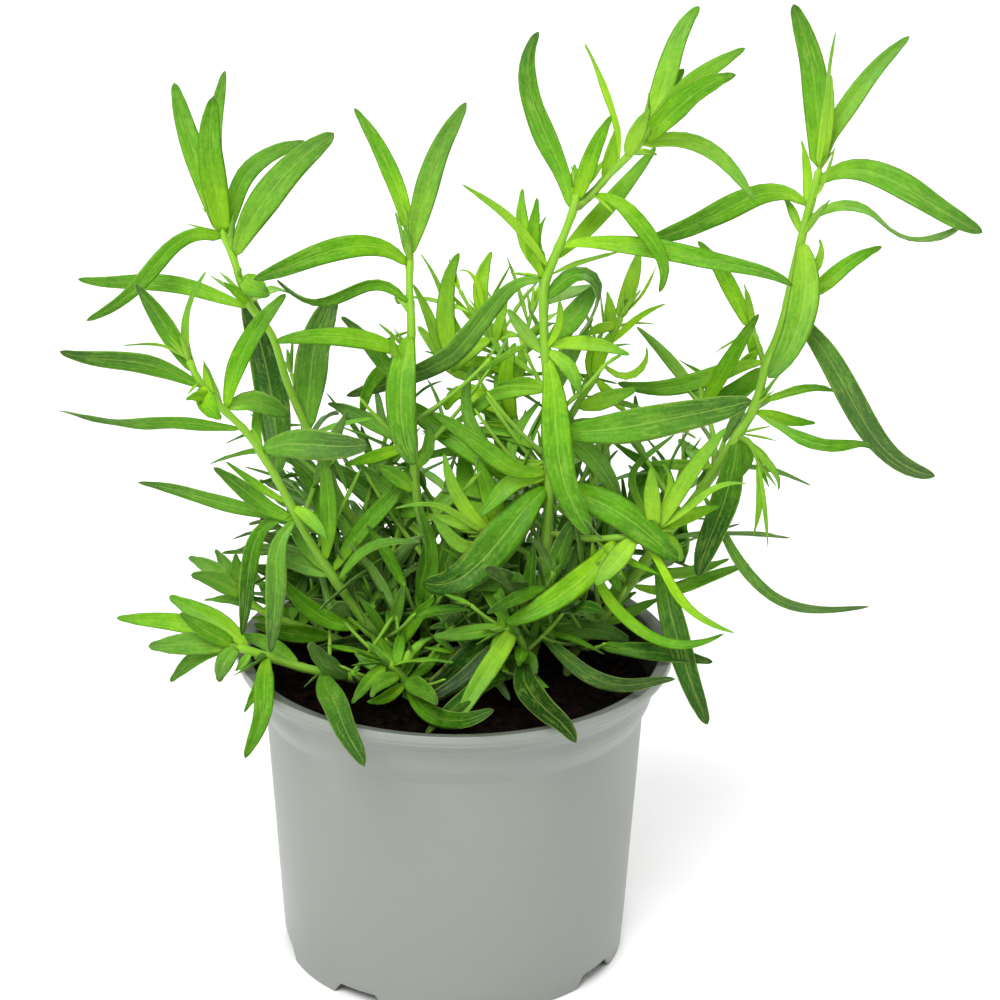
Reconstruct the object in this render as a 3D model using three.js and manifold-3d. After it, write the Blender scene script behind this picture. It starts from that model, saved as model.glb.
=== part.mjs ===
// A tarragon plant in its grey plastic pot. Millimetres, +Z up, standing on z = 0 with the pot's axis
// at the origin. The pot, the root ball and each leafy stem are solids of their own. A leafy stem is one
// body: its blades and side branches are fused to it, and its foot stands in a plain hole in the soil.
import * as THREE from 'three';
import { mergeVertices } from 'three/addons/utils/BufferGeometryUtils.js';
import Module from 'manifold-3d';

const wasm = await Module();
wasm.setup();

// ---- Driving dimensions -------------------------------------------------------------------------

const RIM_Z = 97; // height of the pot
const LIP_R = 65; // outer radius of the flared lip
const LIP_INNER_R = 60.6;
const SHOULDER_Z = 88; // underside of the lip
const SHOULDER_R = 59.6;
const CHAMFER_Z = 83.6; // from here the shoulder draws in to the body
const STEP_Z = 79; // moulded line where the stacking shoulder meets the body
const BODY_R = 56.5; // body just under that line
const FOOT_R = 51.4; // body at the surface it stands on
const FOOT_BAND_Z = 11; // the body's slope changes a little here
const FOOT_BAND_R = 52.3;
const WALL = 1.2;
const LIP_FALL = 1.4; // the lip's upper face falls this much towards its inner edge
const EDGE = 0.3; // the lip's outer edge and the foot's are taken off this much
const FLOOR_LIFT = 3.5; // the floor's ring is raised this much, its centre stands on the surface
const FLOOR_PAD_R = 14;
const FLOOR_PAD_RAMP = 2; // the floor rises from the pad to the ring over this much
const FLOOR_RING_R = 48;
const FOOT_FACE = 0.9; // the flat edge that the skirt stands on
const NOTCHES = 8;
const NOTCH_FIRST = -34; // degrees from the front towards +X
const NOTCH_HALF = 6.4; // half width at the top of a notch
const NOTCH_RAMP = 2.6; // extra half width at the foot
const NOTCH_HEIGHT = 3.6;
const NOTCH_CUT = 12; // the cutter for a notch is this deep and reaches this far below the pot
const DRAIN_R = 3;
const DRAIN_RING_R = 33;
const DRAIN_SIDES = 8;
const POT_SIDES = 40; // and the root ball's, so that their facets lie side by side

const SOIL_Z = 87;
const SOIL_EDGE = 85; // height of the root ball's rounded upper edge
const SOIL_RINGS = [56.4, 38, 18, 0]; // radii at which its surface has points
const SOIL_GAP = 0.35; // between the root ball and the pot
const HOLE_GAP = 0.5; // round each foot
const HOLE_SIDES = 6;
const HOLE_OVER = 8; // a hole's cutter stands this far out of the soil
const FOOT_DEPTH = 21; // a stem's foot reaches this far into the soil
const FOOT_CLEAR = 3; // it bends away only above the soil's crumbs

const STEM_SIDES = 4;
const STEM_SPAN = 12; // a stem has a section about every 12 mm
const LEAST_STEM_SPANS = 5;
const BLADE_THICK = 1.2; // at the midrib; the edges are thin
const MARGIN = 0.5; // the thin edges add this to the width that a leaf is given
const SLIM = 4.9; // a blade narrower than this has a three-sided section
const LONG_SPAN = 20; // a blade has a section about every 20 mm
const BENT_SPAN = 0.8; // and one more for so many radians of bending
const LEAST_SPANS = 2;
const MOST_SPANS = 6;
const LAST_SECTION = 0.93; // share of the length at which the tip's facets start
const EVEN_SECTIONS = 0.97; // the sections before it share this much of the length
const KEEL = 0.1; // the edges stand this share of the width above the midrib

// ---- The drawing sheet --------------------------------------------------------------------------
// A leafy stem's route is given as it looks to an eye in front of the pot: millimetres to the right and
// up on a sheet through the rim's centre, and how far back (+Y) the point lies on that line of sight.

const EYE = new THREE.Vector3(0, -915.4, 499.6);
const RIM_CENTRE = new THREE.Vector3(0, 0, RIM_Z);
const PITCH = THREE.MathUtils.degToRad(21.27);
const YAW = THREE.MathUtils.degToRad(0.82);
const ROLL = THREE.MathUtils.degToRad(0.5);
const LEVEL = new THREE.Vector3(Math.cos(YAW), -Math.sin(YAW), 0);
const STEEP = new THREE.Vector3(
  Math.sin(YAW) * Math.sin(PITCH), Math.cos(YAW) * Math.sin(PITCH), Math.cos(PITCH));
const SHEET_RIGHT = LEVEL.clone().multiplyScalar(Math.cos(ROLL)).addScaledVector(STEEP, Math.sin(ROLL));
const SHEET_UP = STEEP.clone().multiplyScalar(Math.cos(ROLL)).addScaledVector(LEVEL, -Math.sin(ROLL));

function spot(right, up, back) {
  const onSheet = RIM_CENTRE.clone().addScaledVector(SHEET_RIGHT, right).addScaledVector(SHEET_UP, up);
  const share = (back - EYE.y) / (onSheet.y - EYE.y);
  return EYE.clone().lerp(onSheet, share);
}

// ---- The leafy stems ----------------------------------------------------------------------------
// foot: [x, y] where the stem leaves the soil; a side branch has none and starts on the row before it.
// stem: [right, up, back] along it. radii: at its two ends.
// leaves: [width, turn, back, right, up, right, up, ...] from the root to the tip. turn rolls the blade
// from facing the eye, in degrees, or [at the root, at the tip]; back is how far the tip lies behind the
// root. fill: [count, from, to, length, width, heading, spread] leaves set round the stem by rule, from
// one share of its length to another, towards a heading in degrees (0 is +X, 90 is back).

const SPRIGS = [
  { node: 'shoot_left_low', radii: [1.5, 0.9], foot: [-9, -3],
    stem: [[-18, -2, -4.5], [-21.4, 2.2, -5.5], [-25.9, 5.6, -6.5], [-30.5, 11.7, -8], [-36, 19.5, -10],
      [-44, 32, -13], [-49, 41.5, -15], [-55, 52.5, -17], [-62, 63, -19], [-70, 71, -21], [-76, 78, -23],
      [-80, 86, -24]],
    leaves: [
      [5, 10, 4, -78,80, -82,88, -88,97.5, -91.5,102.5, -95,107.3],
      [2.8, 50, 8, -76,78, -80,90, -80,98, -77.5,105.5, -74,111.5],
      [5, 10, -4, -75,77, -84,81, -92,83.9, -101,84.9, -110,85.5, -118,87.3],
      [3, 0, -14, -71,73, -76,74.3, -80.3,73],
      [5, 0, -14, -76,77, -74,71.5, -70,67],
      [4, [10, 75], 6, -63,63.5, -75,65.5, -85,66.7, -95,66, -106,67.2, -118,69.7],
      [6, 10, 16, -69,70, -62,73, -56,71.3, -50,68.5],
      [5, 10, 10, -68,69, -67.5,75, -65,83.5, -60,93, -55,99.5, -50.5,104.5],
      [9, 0, 34, -53,49.5, -53,57, -54,70, -57,86, -62.5,105.3],
      [2.6, 30, 2, -57,56, -59.5,64, -59,70, -58.5,75],
      [8, 0, -6, -58,57.5, -50,60, -40,59.3, -32,58.8, -26,59.6],
      [3.8, 15, 6, -47,37.5, -54,38.5, -65,41, -75,43.7, -85,46.7, -94.7,48.3],
      [4.5, 0, -6, -47,37, -55,39.5, -61,44.5, -66,48.5, -72,52.8],
      [2.4, 30, 4, -49,41.5, -55,45, -60,48.5, -68.3,54.5],
      [3.6, 0, -8, -49,41, -44,38.5, -38,31.5],
      [4.6, 10, -4, -38.5,24, -37.5,35, -37.8,45, -39,57],
      [3.5, 15, 3, -39.5,26, -39,36, -41,46, -49.8,56],
      [4.8, 10, 4, -36,21, -30,31.5, -22,40.5, -16,47, -11,57],
      [2.8, 25, -8, -35,19, -29,26.5, -22,30.5, -10,30.5],
      [4.4, 0, -10, -49,39, -57.5,35.5, -61,26, -62.3,14, -63.5,2.5],
      [5.4, 0, -12, -47.5,37, -53,31, -53.2,20, -54,8, -55,-2.5],
      [4.8, 0, -8, -26,5.5, -35,5.7, -42,9.5, -47,13.5, -51.5,19.5],
      [4.8, 0, -12, -25,5, -21,-3, -16,-6.5, -10,-8.8, -6,-9.3],
      [3.2, 0, -5, -19.5,0.5, -17.5,9, -16.3,14, -14.7,19.2],
      [2.6, 20, -4, -19.5,1, -23,7.5, -29.5,15],
      [4, 10, -6, -18,-2, -12,7, -6,14],
      [4.4, 0, 4, -36.5,20.5, -43,22.8, -51,25.6, -54.5,27.5],
      [4.5, 10, 10, -37,21, -42,27, -46,31.5, -49.5,35.5],
    ],
    fill: [8, 0.15, 0.9, 30, 4.4, 60, 90] },

  { node: 'shoot_left_tall', radii: [1.5, 1], foot: [-14, 13],
    stem: [[-18, 5, 12], [-22, 17, 11], [-25, 28, 10], [-32, 39.5, 9], [-38, 51, 8], [-44, 64, 8],
      [-50, 78, 8], [-54.5, 92, 9], [-61, 101, 11], [-64.5, 110, 14], [-66.3, 116, 16], [-69, 122, 18],
      [-69.5, 126, 19]],
    leaves: [
      [6, 0, 2, -69,122, -74.8,138.9, -79.5,151.3, -82.4,161.7, -83.8,167.6],
      [6.8, 0, -6, -69.3,122, -71.5,136, -73.3,149.3, -72.1,163.6],
      [5, 30, 8, -69,121, -71,138, -71.5,153, -70,163.6, -68.6,171.2],
      [5, 10, 6, -68.5,121, -64,138, -60,143, -55,146.5, -50,148.5, -44.3,150],
      [8, 0, -4, -66.3,115, -61,126, -55,135, -47,144, -36,152.5],
      [4.3, 15, -8, -68.5,121, -76,123.3, -84,119.5, -92,110, -100,102, -110,96.5],
      [4.5, 10, 6, -60.5,100, -70,103.5, -80,107, -92,108.3, -105,108, -112.5,109],
      [6, 0, -18, -64,109, -60,106.8, -55.3,104],
      [2.2, 0, -4, -61,101, -65,105, -69,108],
      [9, 0, 8, -43.5,63, -44,72, -43,80, -42,90, -36,104],
    ],
    fill: [9, 0.1, 0.85, 32, 4.6, 100, 90] },

  { node: 'shoot_middle_left', radii: [1.5, 1], foot: [-5, 8],
    stem: [[-8.5, -2, 7], [-8.5, 8, 5], [-7.5, 17, 4], [-7, 26, 3], [-9, 34, 2], [-11, 42, 1],
      [-12, 52, 0], [-12.5, 65, 1], [-13, 80, 2], [-13, 95, 4], [-13.5, 105, 6], [-13.5, 115, 9],
      [-13.5, 126, 12]],
    leaves: [
      [4.4, 0, 4, -13.5,122, -16,133, -18.8,140, -23.4,150, -30,160],
      [6, 0, -3, -13.5,115, -12,122, -9.5,132, -7.3,140, -3.5,150, 3.5,161.7],
      [6, 0, -4, -13.5,112.5, -19,117.7, -28,119.3, -35,118, -42,116, -50,112.5, -60,108.8],
      [4, [10, 70], -8, -13.2,100.5, -17,105.5, -23,108.7, -30,106.3, -38,102.4, -45,102.5, -53,108.7],
      [5, 0, -3, -13,86, -20,89, -30,91.5, -40,92, -50,91.2, -53.5,90],
      [4, 0, 4, -13,75, -20,82, -25,89, -31,95.5, -34,97.7],
      [2.4, 20, -5, -13,80, -17.5,85, -19,93.5],
      [8, 0, -12, -13.2,93, -15.5,84, -16.3,72, -15,60, -12,53.5],
      [3.6, 10, 6, -13,87, -20,83.5, -26,77, -28,67],
      [3.4, 10, 6, -12.4,60, -19,57.5, -26,55.5, -33,53.5],
      [4.6, 10, 8, -11.5,46, -17,50, -23,53.4],
      [4.4, 0, 10, -11,41, -19,45.5, -25,50, -30,54.6],
      [6.5, 10, 12, -10.5,38, -18,41, -25,45, -31,49.5, -38,54],
      [4, 0, -6, -8.5,4, -9,14, -6.5,24, -8,34, -11,41],
      [3.4, 10, -5, -12,52, -7.5,58, -8,66],
    ],
    fill: [10, 0.1, 0.85, 30, 4.6, 90, 100] },

  { node: 'shoot_centre', radii: [1.9, 1.1], foot: [22, -2],
    stem: [[24.5, 5, -2], [26, 17, -2], [27, 26, -2.5], [28, 40, -3], [28.3, 55, -4], [28.2, 70, -5],
      [27.5, 80, -6], [26.7, 92, -7], [26.5, 101, -8], [27, 108, -9], [29.5, 115, -11], [32.5, 122, -13],
      [35.5, 130, -15], [36.8, 136, -16]],
    leaves: [
      [8, 0, -10, 27.3,87, 29.3,78, 30,66, 31,55, 33,46, 36.5,39, 40.5,32.5],
      [10.5, 0, -16, 28,47, 22.5,42.5, 17,35.5, 11,28, 4.5,21.5, -2,17.5, -9.5,18.3],
      [5.6, 10, 8, 27,108, 21,109.3, 15,105, 10,99.5, 0,87, -6,83.3, -12,80.5, -20,78, -32.5,74],
      [9, 0, -8, 28.3,62.5, 36,63.5, 46,64, 57,65.8, 68,68, 78,70, 88.6,72.6],
      [8.5, 0, -14, 28,46, 36,45.5, 43,42.5, 50,38.8, 57,33.5, 62.5,28.5, 66.6,25.2],
      [5, 10, -8, 31,118, 36,120, 46,119.6, 56,118.4, 66,116.8, 76,114.4, 86,112.5, 95,110.3, 101,106.8],
      [6, 20, 8, 35.5,129, 33.5,138, 30.5,145, 26.8,153, 23.6,161, 21.8,169, 21.9,176, 25,182.8],
      [4.2, 10, -4, 36.5,132, 38.8,139, 42,148.5, 46.8,157.8],
      [2.4, 0, 3, 36.5,133, 36,138, 35.7,143.3],
      [3.6, 0, 2, 26.8,109.5, 22,116, 20.5,122, 19.6,128, 20.2,136],
      [3.4, 0, -2, 27,109, 22.8,117, 23.8,126, 24.6,133.3],
      [2.2, 0, -4, 28,112, 22,121, 15,128.5, 8,133.5, 2,137.3],
      [6, [0, 110], -6, 26.5,102, 31.5,107.5, 36,111.3, 41,111, 43.3,106, 42,99, 37,92],
      [4, 150, -3, 27,86.5, 22.5,91.5, 19,96, 15.8,100],
      [4.6, 15, 2, 29.5,113.5, 36,120.3, 41,125.5, 46,131, 51,137, 55.5,142.5, 60,148.3],
      [3.8, 0, -8, 27,89, 35,90.3, 42,89.8, 47,88.3, 52.2,86.3],
      [5.8, 0, -2, 27,89.5, 33.5,95, 38,101.5, 43,107.6],
      [2, 20, -4, 27,88, 31.3,94, 31.8,99, 31,104.5],
      [4, 0, -5, 27,88, 33.5,84, 36,79, 37.5,74.5],
      [5.4, 0, -4, 28.3,63, 37,60, 43,54, 47,47.5, 49.5,42.5],
      [4, 20, 3, 27.8,75.5, 20,76, 13,75.5, 8,72.5, 4,68, -1,66],
      [3.4, 0, 6, 27.8,77, 20,78, 13,77.3],
      [3, 0, -8, 25.4,8, 22.5,0, 18.5,-3.3, 14.3,-5],
      [3, 0, -6, 25.4,9, 28.2,3.5, 29.2,-2.7],
      [6, 10, 4, 24.5,1, 35,4.5, 43,4.5, 52,1],
      [4.2, 10, -16, 24.5,4, 33,-4, 39,-9, 46,-12, 53,-12.5, 60,-11, 65.8,-10.3],
      [5.5, 0, -4, 28,50, 18,50, 14.5,46.5, 11,42, 7.5,38.3],
      [7, 0, 4, 28,49, 18,50, 11,54.5, 4,59, -3,63.5, -9,67.5, -17,73.5],
      [5, 10, -4, 28,51, 18,51.5, 12,56, 6,60.5, 0,65, -6.5,69.3],
      [3, 20, 0, 28,52, 18,52, 8,56.3, 2,57.7, -4,58, -9,55.8, -13,53],
      [3.9, 10, 2, 28,53, 15,51, 9.5,58, 5.5,63.5, 3.2,70, 3.2,77, 5.5,83],
      [3.4, 20, 6, 28.2,55, 16.5,54, 17.3,60, 20,66, 25.5,72.5],
    ],
    fill: [10, 0.12, 0.85, 30, 4.8, 80, 110] },
  { node: 'shoot_centre', radii: [1.2, 0.8],
    stem: [[35.2, 129, -14.8], [41, 134.5, -17], [45, 139, -19], [49, 143, -21], [53, 147, -23],
      [57, 151, -25]],
    leaves: [
      [5.6, 10, 2, 56,150, 60.5,161, 63,169, 65.5,178, 68.5,185, 73,190.3],
      [4.6, 0, 5, 56,150, 61,159, 65,167, 68.3,171.8],
      [4.6, 0, 0, 56.5,150.5, 64,160.5, 71,168, 79,173.5, 86.7,178],
      [6, 20, -6, 56.5,150.5, 64,157.5, 70,163, 76,167.3, 84,169.8],
      [4, 0, -3, 51,145, 54.5,153, 58,160],
      [2.6, 50, -6, 49,143, 49.5,152, 47.8,158, 45,166, 42,173.5, 38.8,179.2],
      [4, 0, -8, 55,149, 62,151, 69,150.8, 75,148.7, 80.5,144.5, 85.5,138.5, 89.3,132.5],
      [2, 40, 4, 52,146, 57,146.7, 60.5,146],
      [4.2, 0, -12, 40.5,134, 46,134, 50.5,131.3, 55,125.5, 59,120.5, 62.3,116, 63.3,111, 61,105],
      [3.4, 0, -4, 44,138, 47,146, 48.2,154],
    ] },
  { node: 'shoot_centre', radii: [1.1, 0.8],
    stem: [[28.3, 57, -4.1], [33, 65, 1], [36, 70.5, 4], [39.5, 76, 7], [42, 80, 8], [44, 85, 10],
      [46.5, 90.5, 11], [48.5, 95, 11], [50, 99, 11]],
    leaves: [
      [4, 10, 2, 49,96, 51,102.5, 53.5,110, 55.3,118.3],
      [2.6, 0, 2, 47,91, 46.8,98, 45.5,105.3],
      [3.6, 0, -3, 42.3,79.5, 43,86, 46.5,93],
      [2.4, 0, -3, 48,95, 43.5,94.6, 38.8,91.8],
      [2.4, 30, -6, 44,84, 46.5,80.5, 50,78.7, 54,79.8, 57.3,83, 57.8,86.5, 57,88.8],
      [2.8, 10, 3, 42,79, 46,75, 51.5,68.6],
      [5, 20, 6, 36,70.5, 42,71.5, 48,73.5, 54,76],
      [3, 0, 3, 41,78, 40.5,86, 44,93],
    ] },
  { node: 'shoot_centre', radii: [1.1, 0.8],
    stem: [[28.1, 49, -3.6], [22.5, 57, 3], [18.5, 64.5, 8], [17, 73, 11], [16, 81, 14], [13.5, 87, 15],
      [11, 92, 16], [8.7, 97, 16]],
    leaves: [
      [4, 0, 2, 9.5,95, 7.3,104, 8,110.5, 11,117.2],
      [4, 0, -2, 11.5,91, 6.5,89.5, 2,85, -1,81],
      [2.8, 10, 0, 16,81, 12,83, 9.7,86.7],
      [3.2, 0, 0, 17,75, 20,84, 20.5,90],
      [2.6, 10, 0, 12.5,89.5, 13,95.5, 15.6,100.6],
      [2.2, 20, -2, 12,91, 15.5,92.5, 19.5,91.8],
      [4.6, 0, -2, 18.5,66, 15.5,74, 15,82, 18,90],
      [5.2, 0, 2, 14.5,85, 3,84, -2.4,90, -2.7,103, -1.5,111, 1.3,116.8],
      [3.5, 0, 4, 15,84, 4,82, -4.5,89, -7.5,98, -12.5,107.5],
      [4.6, 10, 6, 15,83, 2,81, -5,88, -11,95],
      [4, 10, 8, 20,62, 15,67.5, 10,70.5],
      [5.5, 10, 4, 18,67, 8,74, 1,77, -3,70],
    ] },
  { node: 'shoot_centre', radii: [1, 0.7],
    stem: [[27.6, 33, -2.7], [33, 32.5, -7], [40, 31.5, -11], [48, 31.8, -13], [55, 32.6, -12],
      [60.5, 34.5, -11]],
    leaves: [
      [6.8, 0, -12, 48,31.8, 44,25.5, 38,19.5, 30,13.5, 22,9, 15.3,6],
      [4.3, 10, -6, 60,34.3, 65,42.5, 70,50.5, 75.5,58, 81,64.5],
      [4.4, 0, -3, 59.8,34, 58.8,42, 58.7,52.7],
      [2.5, 20, -12, 55,32.6, 59.5,27, 63,20.5, 66,14.5, 70,10, 76,6, 83.5,3.3],
      [3.2, 10, -12, 41,31.5, 42,20, 46,13, 51.5,7, 58,2.2, 65,-0.5, 73,0, 80.5,3.2],
      [5.5, 0, -4, 54,32.4, 50,27, 45,21.5, 42,17.5],
      [3.5, 0, 6, 60,34.3, 68,37.5, 74,40, 79,41],
      [2, 10, 4, 60,34.2, 64,44, 65,50, 62,53.8],
      [5, 0, 6, 58,33.8, 63,31, 68,25],
    ] },
  { node: 'shoot_centre', radii: [0.9, 0.7],
    stem: [[26.7, 24, -2.4], [20, 28, -6], [14, 31.5, -8], [10, 33.2, -8]],
    leaves: [
      [3.6, 0, -4, 11,33, 5.5,37.5, 2,42, -1.5,49, -3.3,57],
      [3.2, 10, 3, 12,32.3, 4,35.5, -2,37, -7.3,39],
      [4.2, 10, 0, 15,31, 3,28, -2,33, -7,38.6],
      [6.5, 0, 10, 14,31.5, 8,36, 4.5,44, 3,51, 2.5,58],
      [5.5, 0, 12, 15,31, 12,40, 9.5,48, 7,55],
    ] },

  { node: 'shoot_right_tall', radii: [1.7, 1.1], foot: [34, 4],
    stem: [[38.5, 2, 3], [43, 7, 3], [49, 14, 3], [56, 23, 3], [61, 30, 4], [67, 37.5, 5], [73, 45, 6],
      [79, 54, 7], [83.5, 61, 8], [88, 68, 9], [90.5, 74, 10], [93, 84, 11], [96, 91, 12], [98.3, 98, 14],
      [100, 105, 16], [101.5, 113, 18], [103.5, 121, 20], [105.5, 129, 22], [107.5, 136, 23],
      [109, 143, 24]],
    leaves: [
      [7, 0, 3, 108.7,141, 108.5,154, 107.7,165, 106.8,173, 104.6,181, 101,191],
      [5, 0, 0, 108.9,142, 110.5,150, 113.5,155, 118,161.5, 122.5,168, 128,174.5, 135.7,181.5],
      [3.6, 0, 4, 108.8,141.5, 110.6,152, 111.6,162, 112.2,170],
      [2.5, 20, 3, 105.3,128, 105.6,137, 105,145, 103.4,150.5],
      [7, 10, -8, 108,138, 113,141, 120,142, 127,140, 135,136, 142,131.3, 150,126.3, 157.5,122.8],
      [4.4, [0, 160], -6, 105,126.5, 110,129.5, 115,131.3, 120,130.6, 125,128, 128,125, 131,122,
        135,120.2, 140,119.8, 145,121, 151,124.6],
      [6.4, 10, 8, 106,131, 102,134.3, 97,135.5, 91,134.7, 84,131.5, 77,128, 70,124.5, 64,122.3, 57.5,120.8],
      [2.3, 20, 4, 103.8,122, 102,127, 99.5,132, 98,133.6],
      [2.3, 10, -4, 101,109.5, 107,110, 109,115, 110,118.5, 108.6,121],
      [4.3, 10, 0, 100,104.5, 106,103.5, 110,107, 115,111.7, 120,115.5, 127.5,118.6],
      [8.2, 0, -12, 103.5,120.5, 105,112, 104.5,105, 103.5,98, 101,91, 97.5,84.5, 93.5,79.5],
      [7, 10, -6, 99.5,102, 106,93, 110,88, 114,81, 118,73.5, 123,64.5, 127.5,58.5, 132.5,53.8, 138,51.3,
        143.4,50.2],
      [2.5, 30, 4, 89.5,71.5, 95,73.3, 100,75.2, 105,76.7, 110,76.7, 115,74.8],
      [3.1, 10, 2, 88.8,70, 93,69, 98,66.8, 103,66.2, 107.7,66],
      [4.2, [70, 0], -8, 88.6,69.5, 94,66.5, 99,63.7, 104,60.5, 110,59, 116,58.8, 121,60.5, 124.5,58.3],
      [7.6, 10, -8, 84,62, 83.2,54, 81.5,46, 78,36, 74.5,28, 72.5,20.3],
      [3, 20, -8, 73,45, 78,38, 81,31, 85,24, 90,18, 96,13, 103,10.6, 112,10, 123.7,11.2],
      [5, 10, 4, 93,84, 86,83.5, 78,80.5, 70,77.8, 62,76.3, 55,76.5, 48.5,78],
      [6, 20, 8, 93,83.5, 89,79.5, 84,75.5, 77,72, 70,70],
      [6.8, 0, -26, 58.5,26.5, 61.5,24, 63,15, 65.5,5, 68,-4, 70.5,-12, 73.3,-19, 75.4,-24],
      [3.4, 0, 8, 52,18, 61,15.5, 68,17, 77,20.5, 88,24],
      [3, 0, 12, 55,22, 66,20.8, 74,22.5, 82,25.5],
      [2.4, 0, 4, 44,8, 50,13.5, 54.3,15.6],
      [3, 0, 6, 42,6, 47,6.5, 53,10, 61.5,13.8],
      [3.4, 0, 4, 45,10, 50,19.5, 56,23],
      [3, 20, 6, 78,52.5, 71,53.6, 64,53.8, 57,54],
      [2.4, 30, 8, 61,30, 52,50, 58,56.5, 65.5,62.5],
      [3, 0, 8, 67,37.5, 60,52, 54,55.5, 47,60.5],
      [4.6, 20, -4, 84,62, 87.5,57, 86,53.5, 84.6,49],
      [7, 0, 8, 69,40, 66,36, 66.5,30, 67,24],
      [6, 0, 10, 62,31, 55,38, 54,46, 57,52],
    ],
    fill: [9, 0.15, 0.7, 30, 4.6, 90, 100] },
  { node: 'shoot_right_tall', radii: [0.9, 0.6],
    stem: [[84, 62, 8.1], [87.5, 60.5, 5], [89.5, 57.5, 4], [90.5, 54.5, 4]],
    leaves: [
      [2, 20, -4, 88,60, 91,56.5, 94.5,52.8, 97,49.5, 96.5,46],
    ] },
  { node: 'shoot_right_tall', radii: [0.9, 0.6],
    stem: [[92.5, 82.5, 10.9], [91, 88, 14], [89, 94, 16]],
    leaves: [
      [4.2, 10, 3, 89.2,93.5, 84.5,102, 80.5,110, 77,115.5, 72.5,120.3],
      [3.3, 10, -5, 89.4,93, 89,90, 89.6,84.8],
      [2.4, 20, 2, 91,88, 86.5,84.5, 84,83.5],
    ] },
  { node: 'shoot_right_tall', radii: [1, 0.7],
    stem: [[77.6, 52, 6.8], [77.5, 59, 12], [76.5, 65, 15], [74.5, 71, 17]],
    leaves: [
      [4.2, 10, -3, 74.8,70.5, 78,78, 82.5,85, 86.5,92, 90.7,98.6],
      [3.2, 170, 2, 74.8,70.5, 70,77.5, 64.5,84.5, 59,90.5, 54.2,94.8],
    ] },

  { node: 'shoot_low_left', radii: [1.5, 1.1], foot: [-27, -12],
    stem: [[-31, -10, -15], [-40, -8.3, -18], [-50, -5.8, -18], [-58, -3, -19], [-66, -0.5, -20]],
    leaves: [
      [5.6, 0, 4, -61,-2, -67,4.5, -73,8, -79,10.8, -85.3,14.3],
      [4.8, 0, 4, -65,-0.8, -74,4.5, -84,6.7, -92,7.3, -101,7.8],
      [6, 0, -6, -65.5,-0.6, -74,0.5, -82,0, -87,-0.5, -91.5,-0.5],
      [4.4, 0, -8, -65.5,-0.6, -72,3, -77,5.5, -82,9.3],
      [4.2, 0, -8, -65.5,-0.6, -73,-1.2, -78,-4, -82,-8, -85,-11.2],
      [4.8, 0, -10, -64.5,-1, -68,-3.5, -69.5,-7, -70.5,-11.3],
      [2.2, 0, -4, -61,-2, -63,-5.5, -65.5,-8],
      [5.2, 0, -10, -56,-3.7, -57,-12, -57,-19, -59,-26, -62.8,-34],
      [2.9, 10, -12, -55,-4.2, -58,-11, -60.5,-16, -63,-20.4],
      [5.5, 160, -8, -31,-10, -35,-8, -39.5,-5, -43.5,0.5],
      [6.6, 0, -30, -39,-8.5, -38.5,-13, -36,-17, -32.5,-26, -29,-32, -26.8,-36.3],
      [4.4, 0, 4, -46,-6.8, -52,-2, -58,1.5, -64,2.5],
    ] },

  { node: 'shoot_low_left_back', radii: [1.4, 0.9], foot: [-24, 8],
    stem: [[-30, -1, 8], [-38, 2.5, 8], [-47, 5.5, 8], [-56, 9, 8], [-62, 13.5, 8], [-65, 17, 8]],
    leaves: [
      [5.2, 0, 0, -63,14.5, -69,18.3, -74,20.3, -78.8,20.5],
      [4.4, 0, 2, -64,16, -69,20.5, -74,23.5, -79.5,26],
      [3.6, 0, 2, -64,16, -68,23, -71.5,28.3],
      [3.6, 0, -3, -64,16, -65,22, -65.5,27],
      [5, 0, 5, -36,2, -42,3, -50,3, -60,6],
      [4, 0, 6, -45,5, -44,12, -40,18],
    ],
    fill: [7, 0.2, 0.9, 26, 4.4, 110, 100] },

  { node: 'shoot_front', radii: [1.5, 0.9], foot: [21, -10],
    stem: [[20.8, -6, -12], [20, 0, -14], [17, 4.5, -17], [13.5, 4.5, -19]],
    leaves: [
      [4.1, 0, -4, 14.5,4.6, 8,4, 0,2.7, -6.5,2.4],
      [2, 0, -2, 14.2,4.5, 13.4,9.4],
      [3, 0, -8, 14.3,4.5, 11.6,-1.5, 13,-5.5, 16.2,-8.7],
      [5.3, 0, -16, 17.5,4, 13,-3, 9,-9, 5,-15, 2,-20.5, 0.8,-24.3],
      [9, 0, -6, 18.5,3, 11,1, 5,-5, -1,-10.5, -6,-14, -11,-16.2],
      [6.6, 0, -26, 20.6,-5, 21,-12, 27,-19.5, 32.5,-24, 36.3,-29.3],
      [2.9, 0, -10, 20.6,-6, 23.5,-11.5, 26,-14.5, 28.2,-18.3],
      [3.8, 0, -6, 20.3,-1.5, 22.5,-5, 24.3,-9.2],
      [6, 0, -3, 20.4,-3, 16,-7, 12,-11],
      [2.4, 10, 4, 20.7,-6, 24,-11, 28,-13],
    ],
    fill: [6, 0.1, 0.9, 22, 4, 200, 160] },

  { node: 'shoot_front_left', radii: [1.4, 0.9], foot: [-14, -17],
    stem: [[-14.5, -11.5, -18], [-17, -8, -20], [-20.5, -5.5, -22]],
    leaves: [
      [3.2, 0, -4, -14.5,-11.5, -18,-14.5, -22,-16.8, -26.2,-17.3],
      [3.5, 0, -10, -20,-5.8, -25,-10, -28,-14, -30.8,-17.7],
      [5, 0, -14, -14.3,-12, -11,-17, -8,-20.5, -3,-22.6, 4,-22.6, 11.6,-19.4],
      [2.4, 0, -2, -14.8,-11, -8,-7, -6,-4, -2.8,-1],
      [4.5, 0, 2, -17,-8, -24,-6, -30,-2],
      [4, 0, -6, -16,-9, -23,-12, -25,-16],
      [5, 0, 4, -15,-11, -9,-14, -5,-18],
    ],
    fill: [6, 0.1, 0.9, 22, 4, 60, 160] },

  { node: 'shoot_back_left', radii: [1.4, 0.9], foot: [-25, 30],
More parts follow.
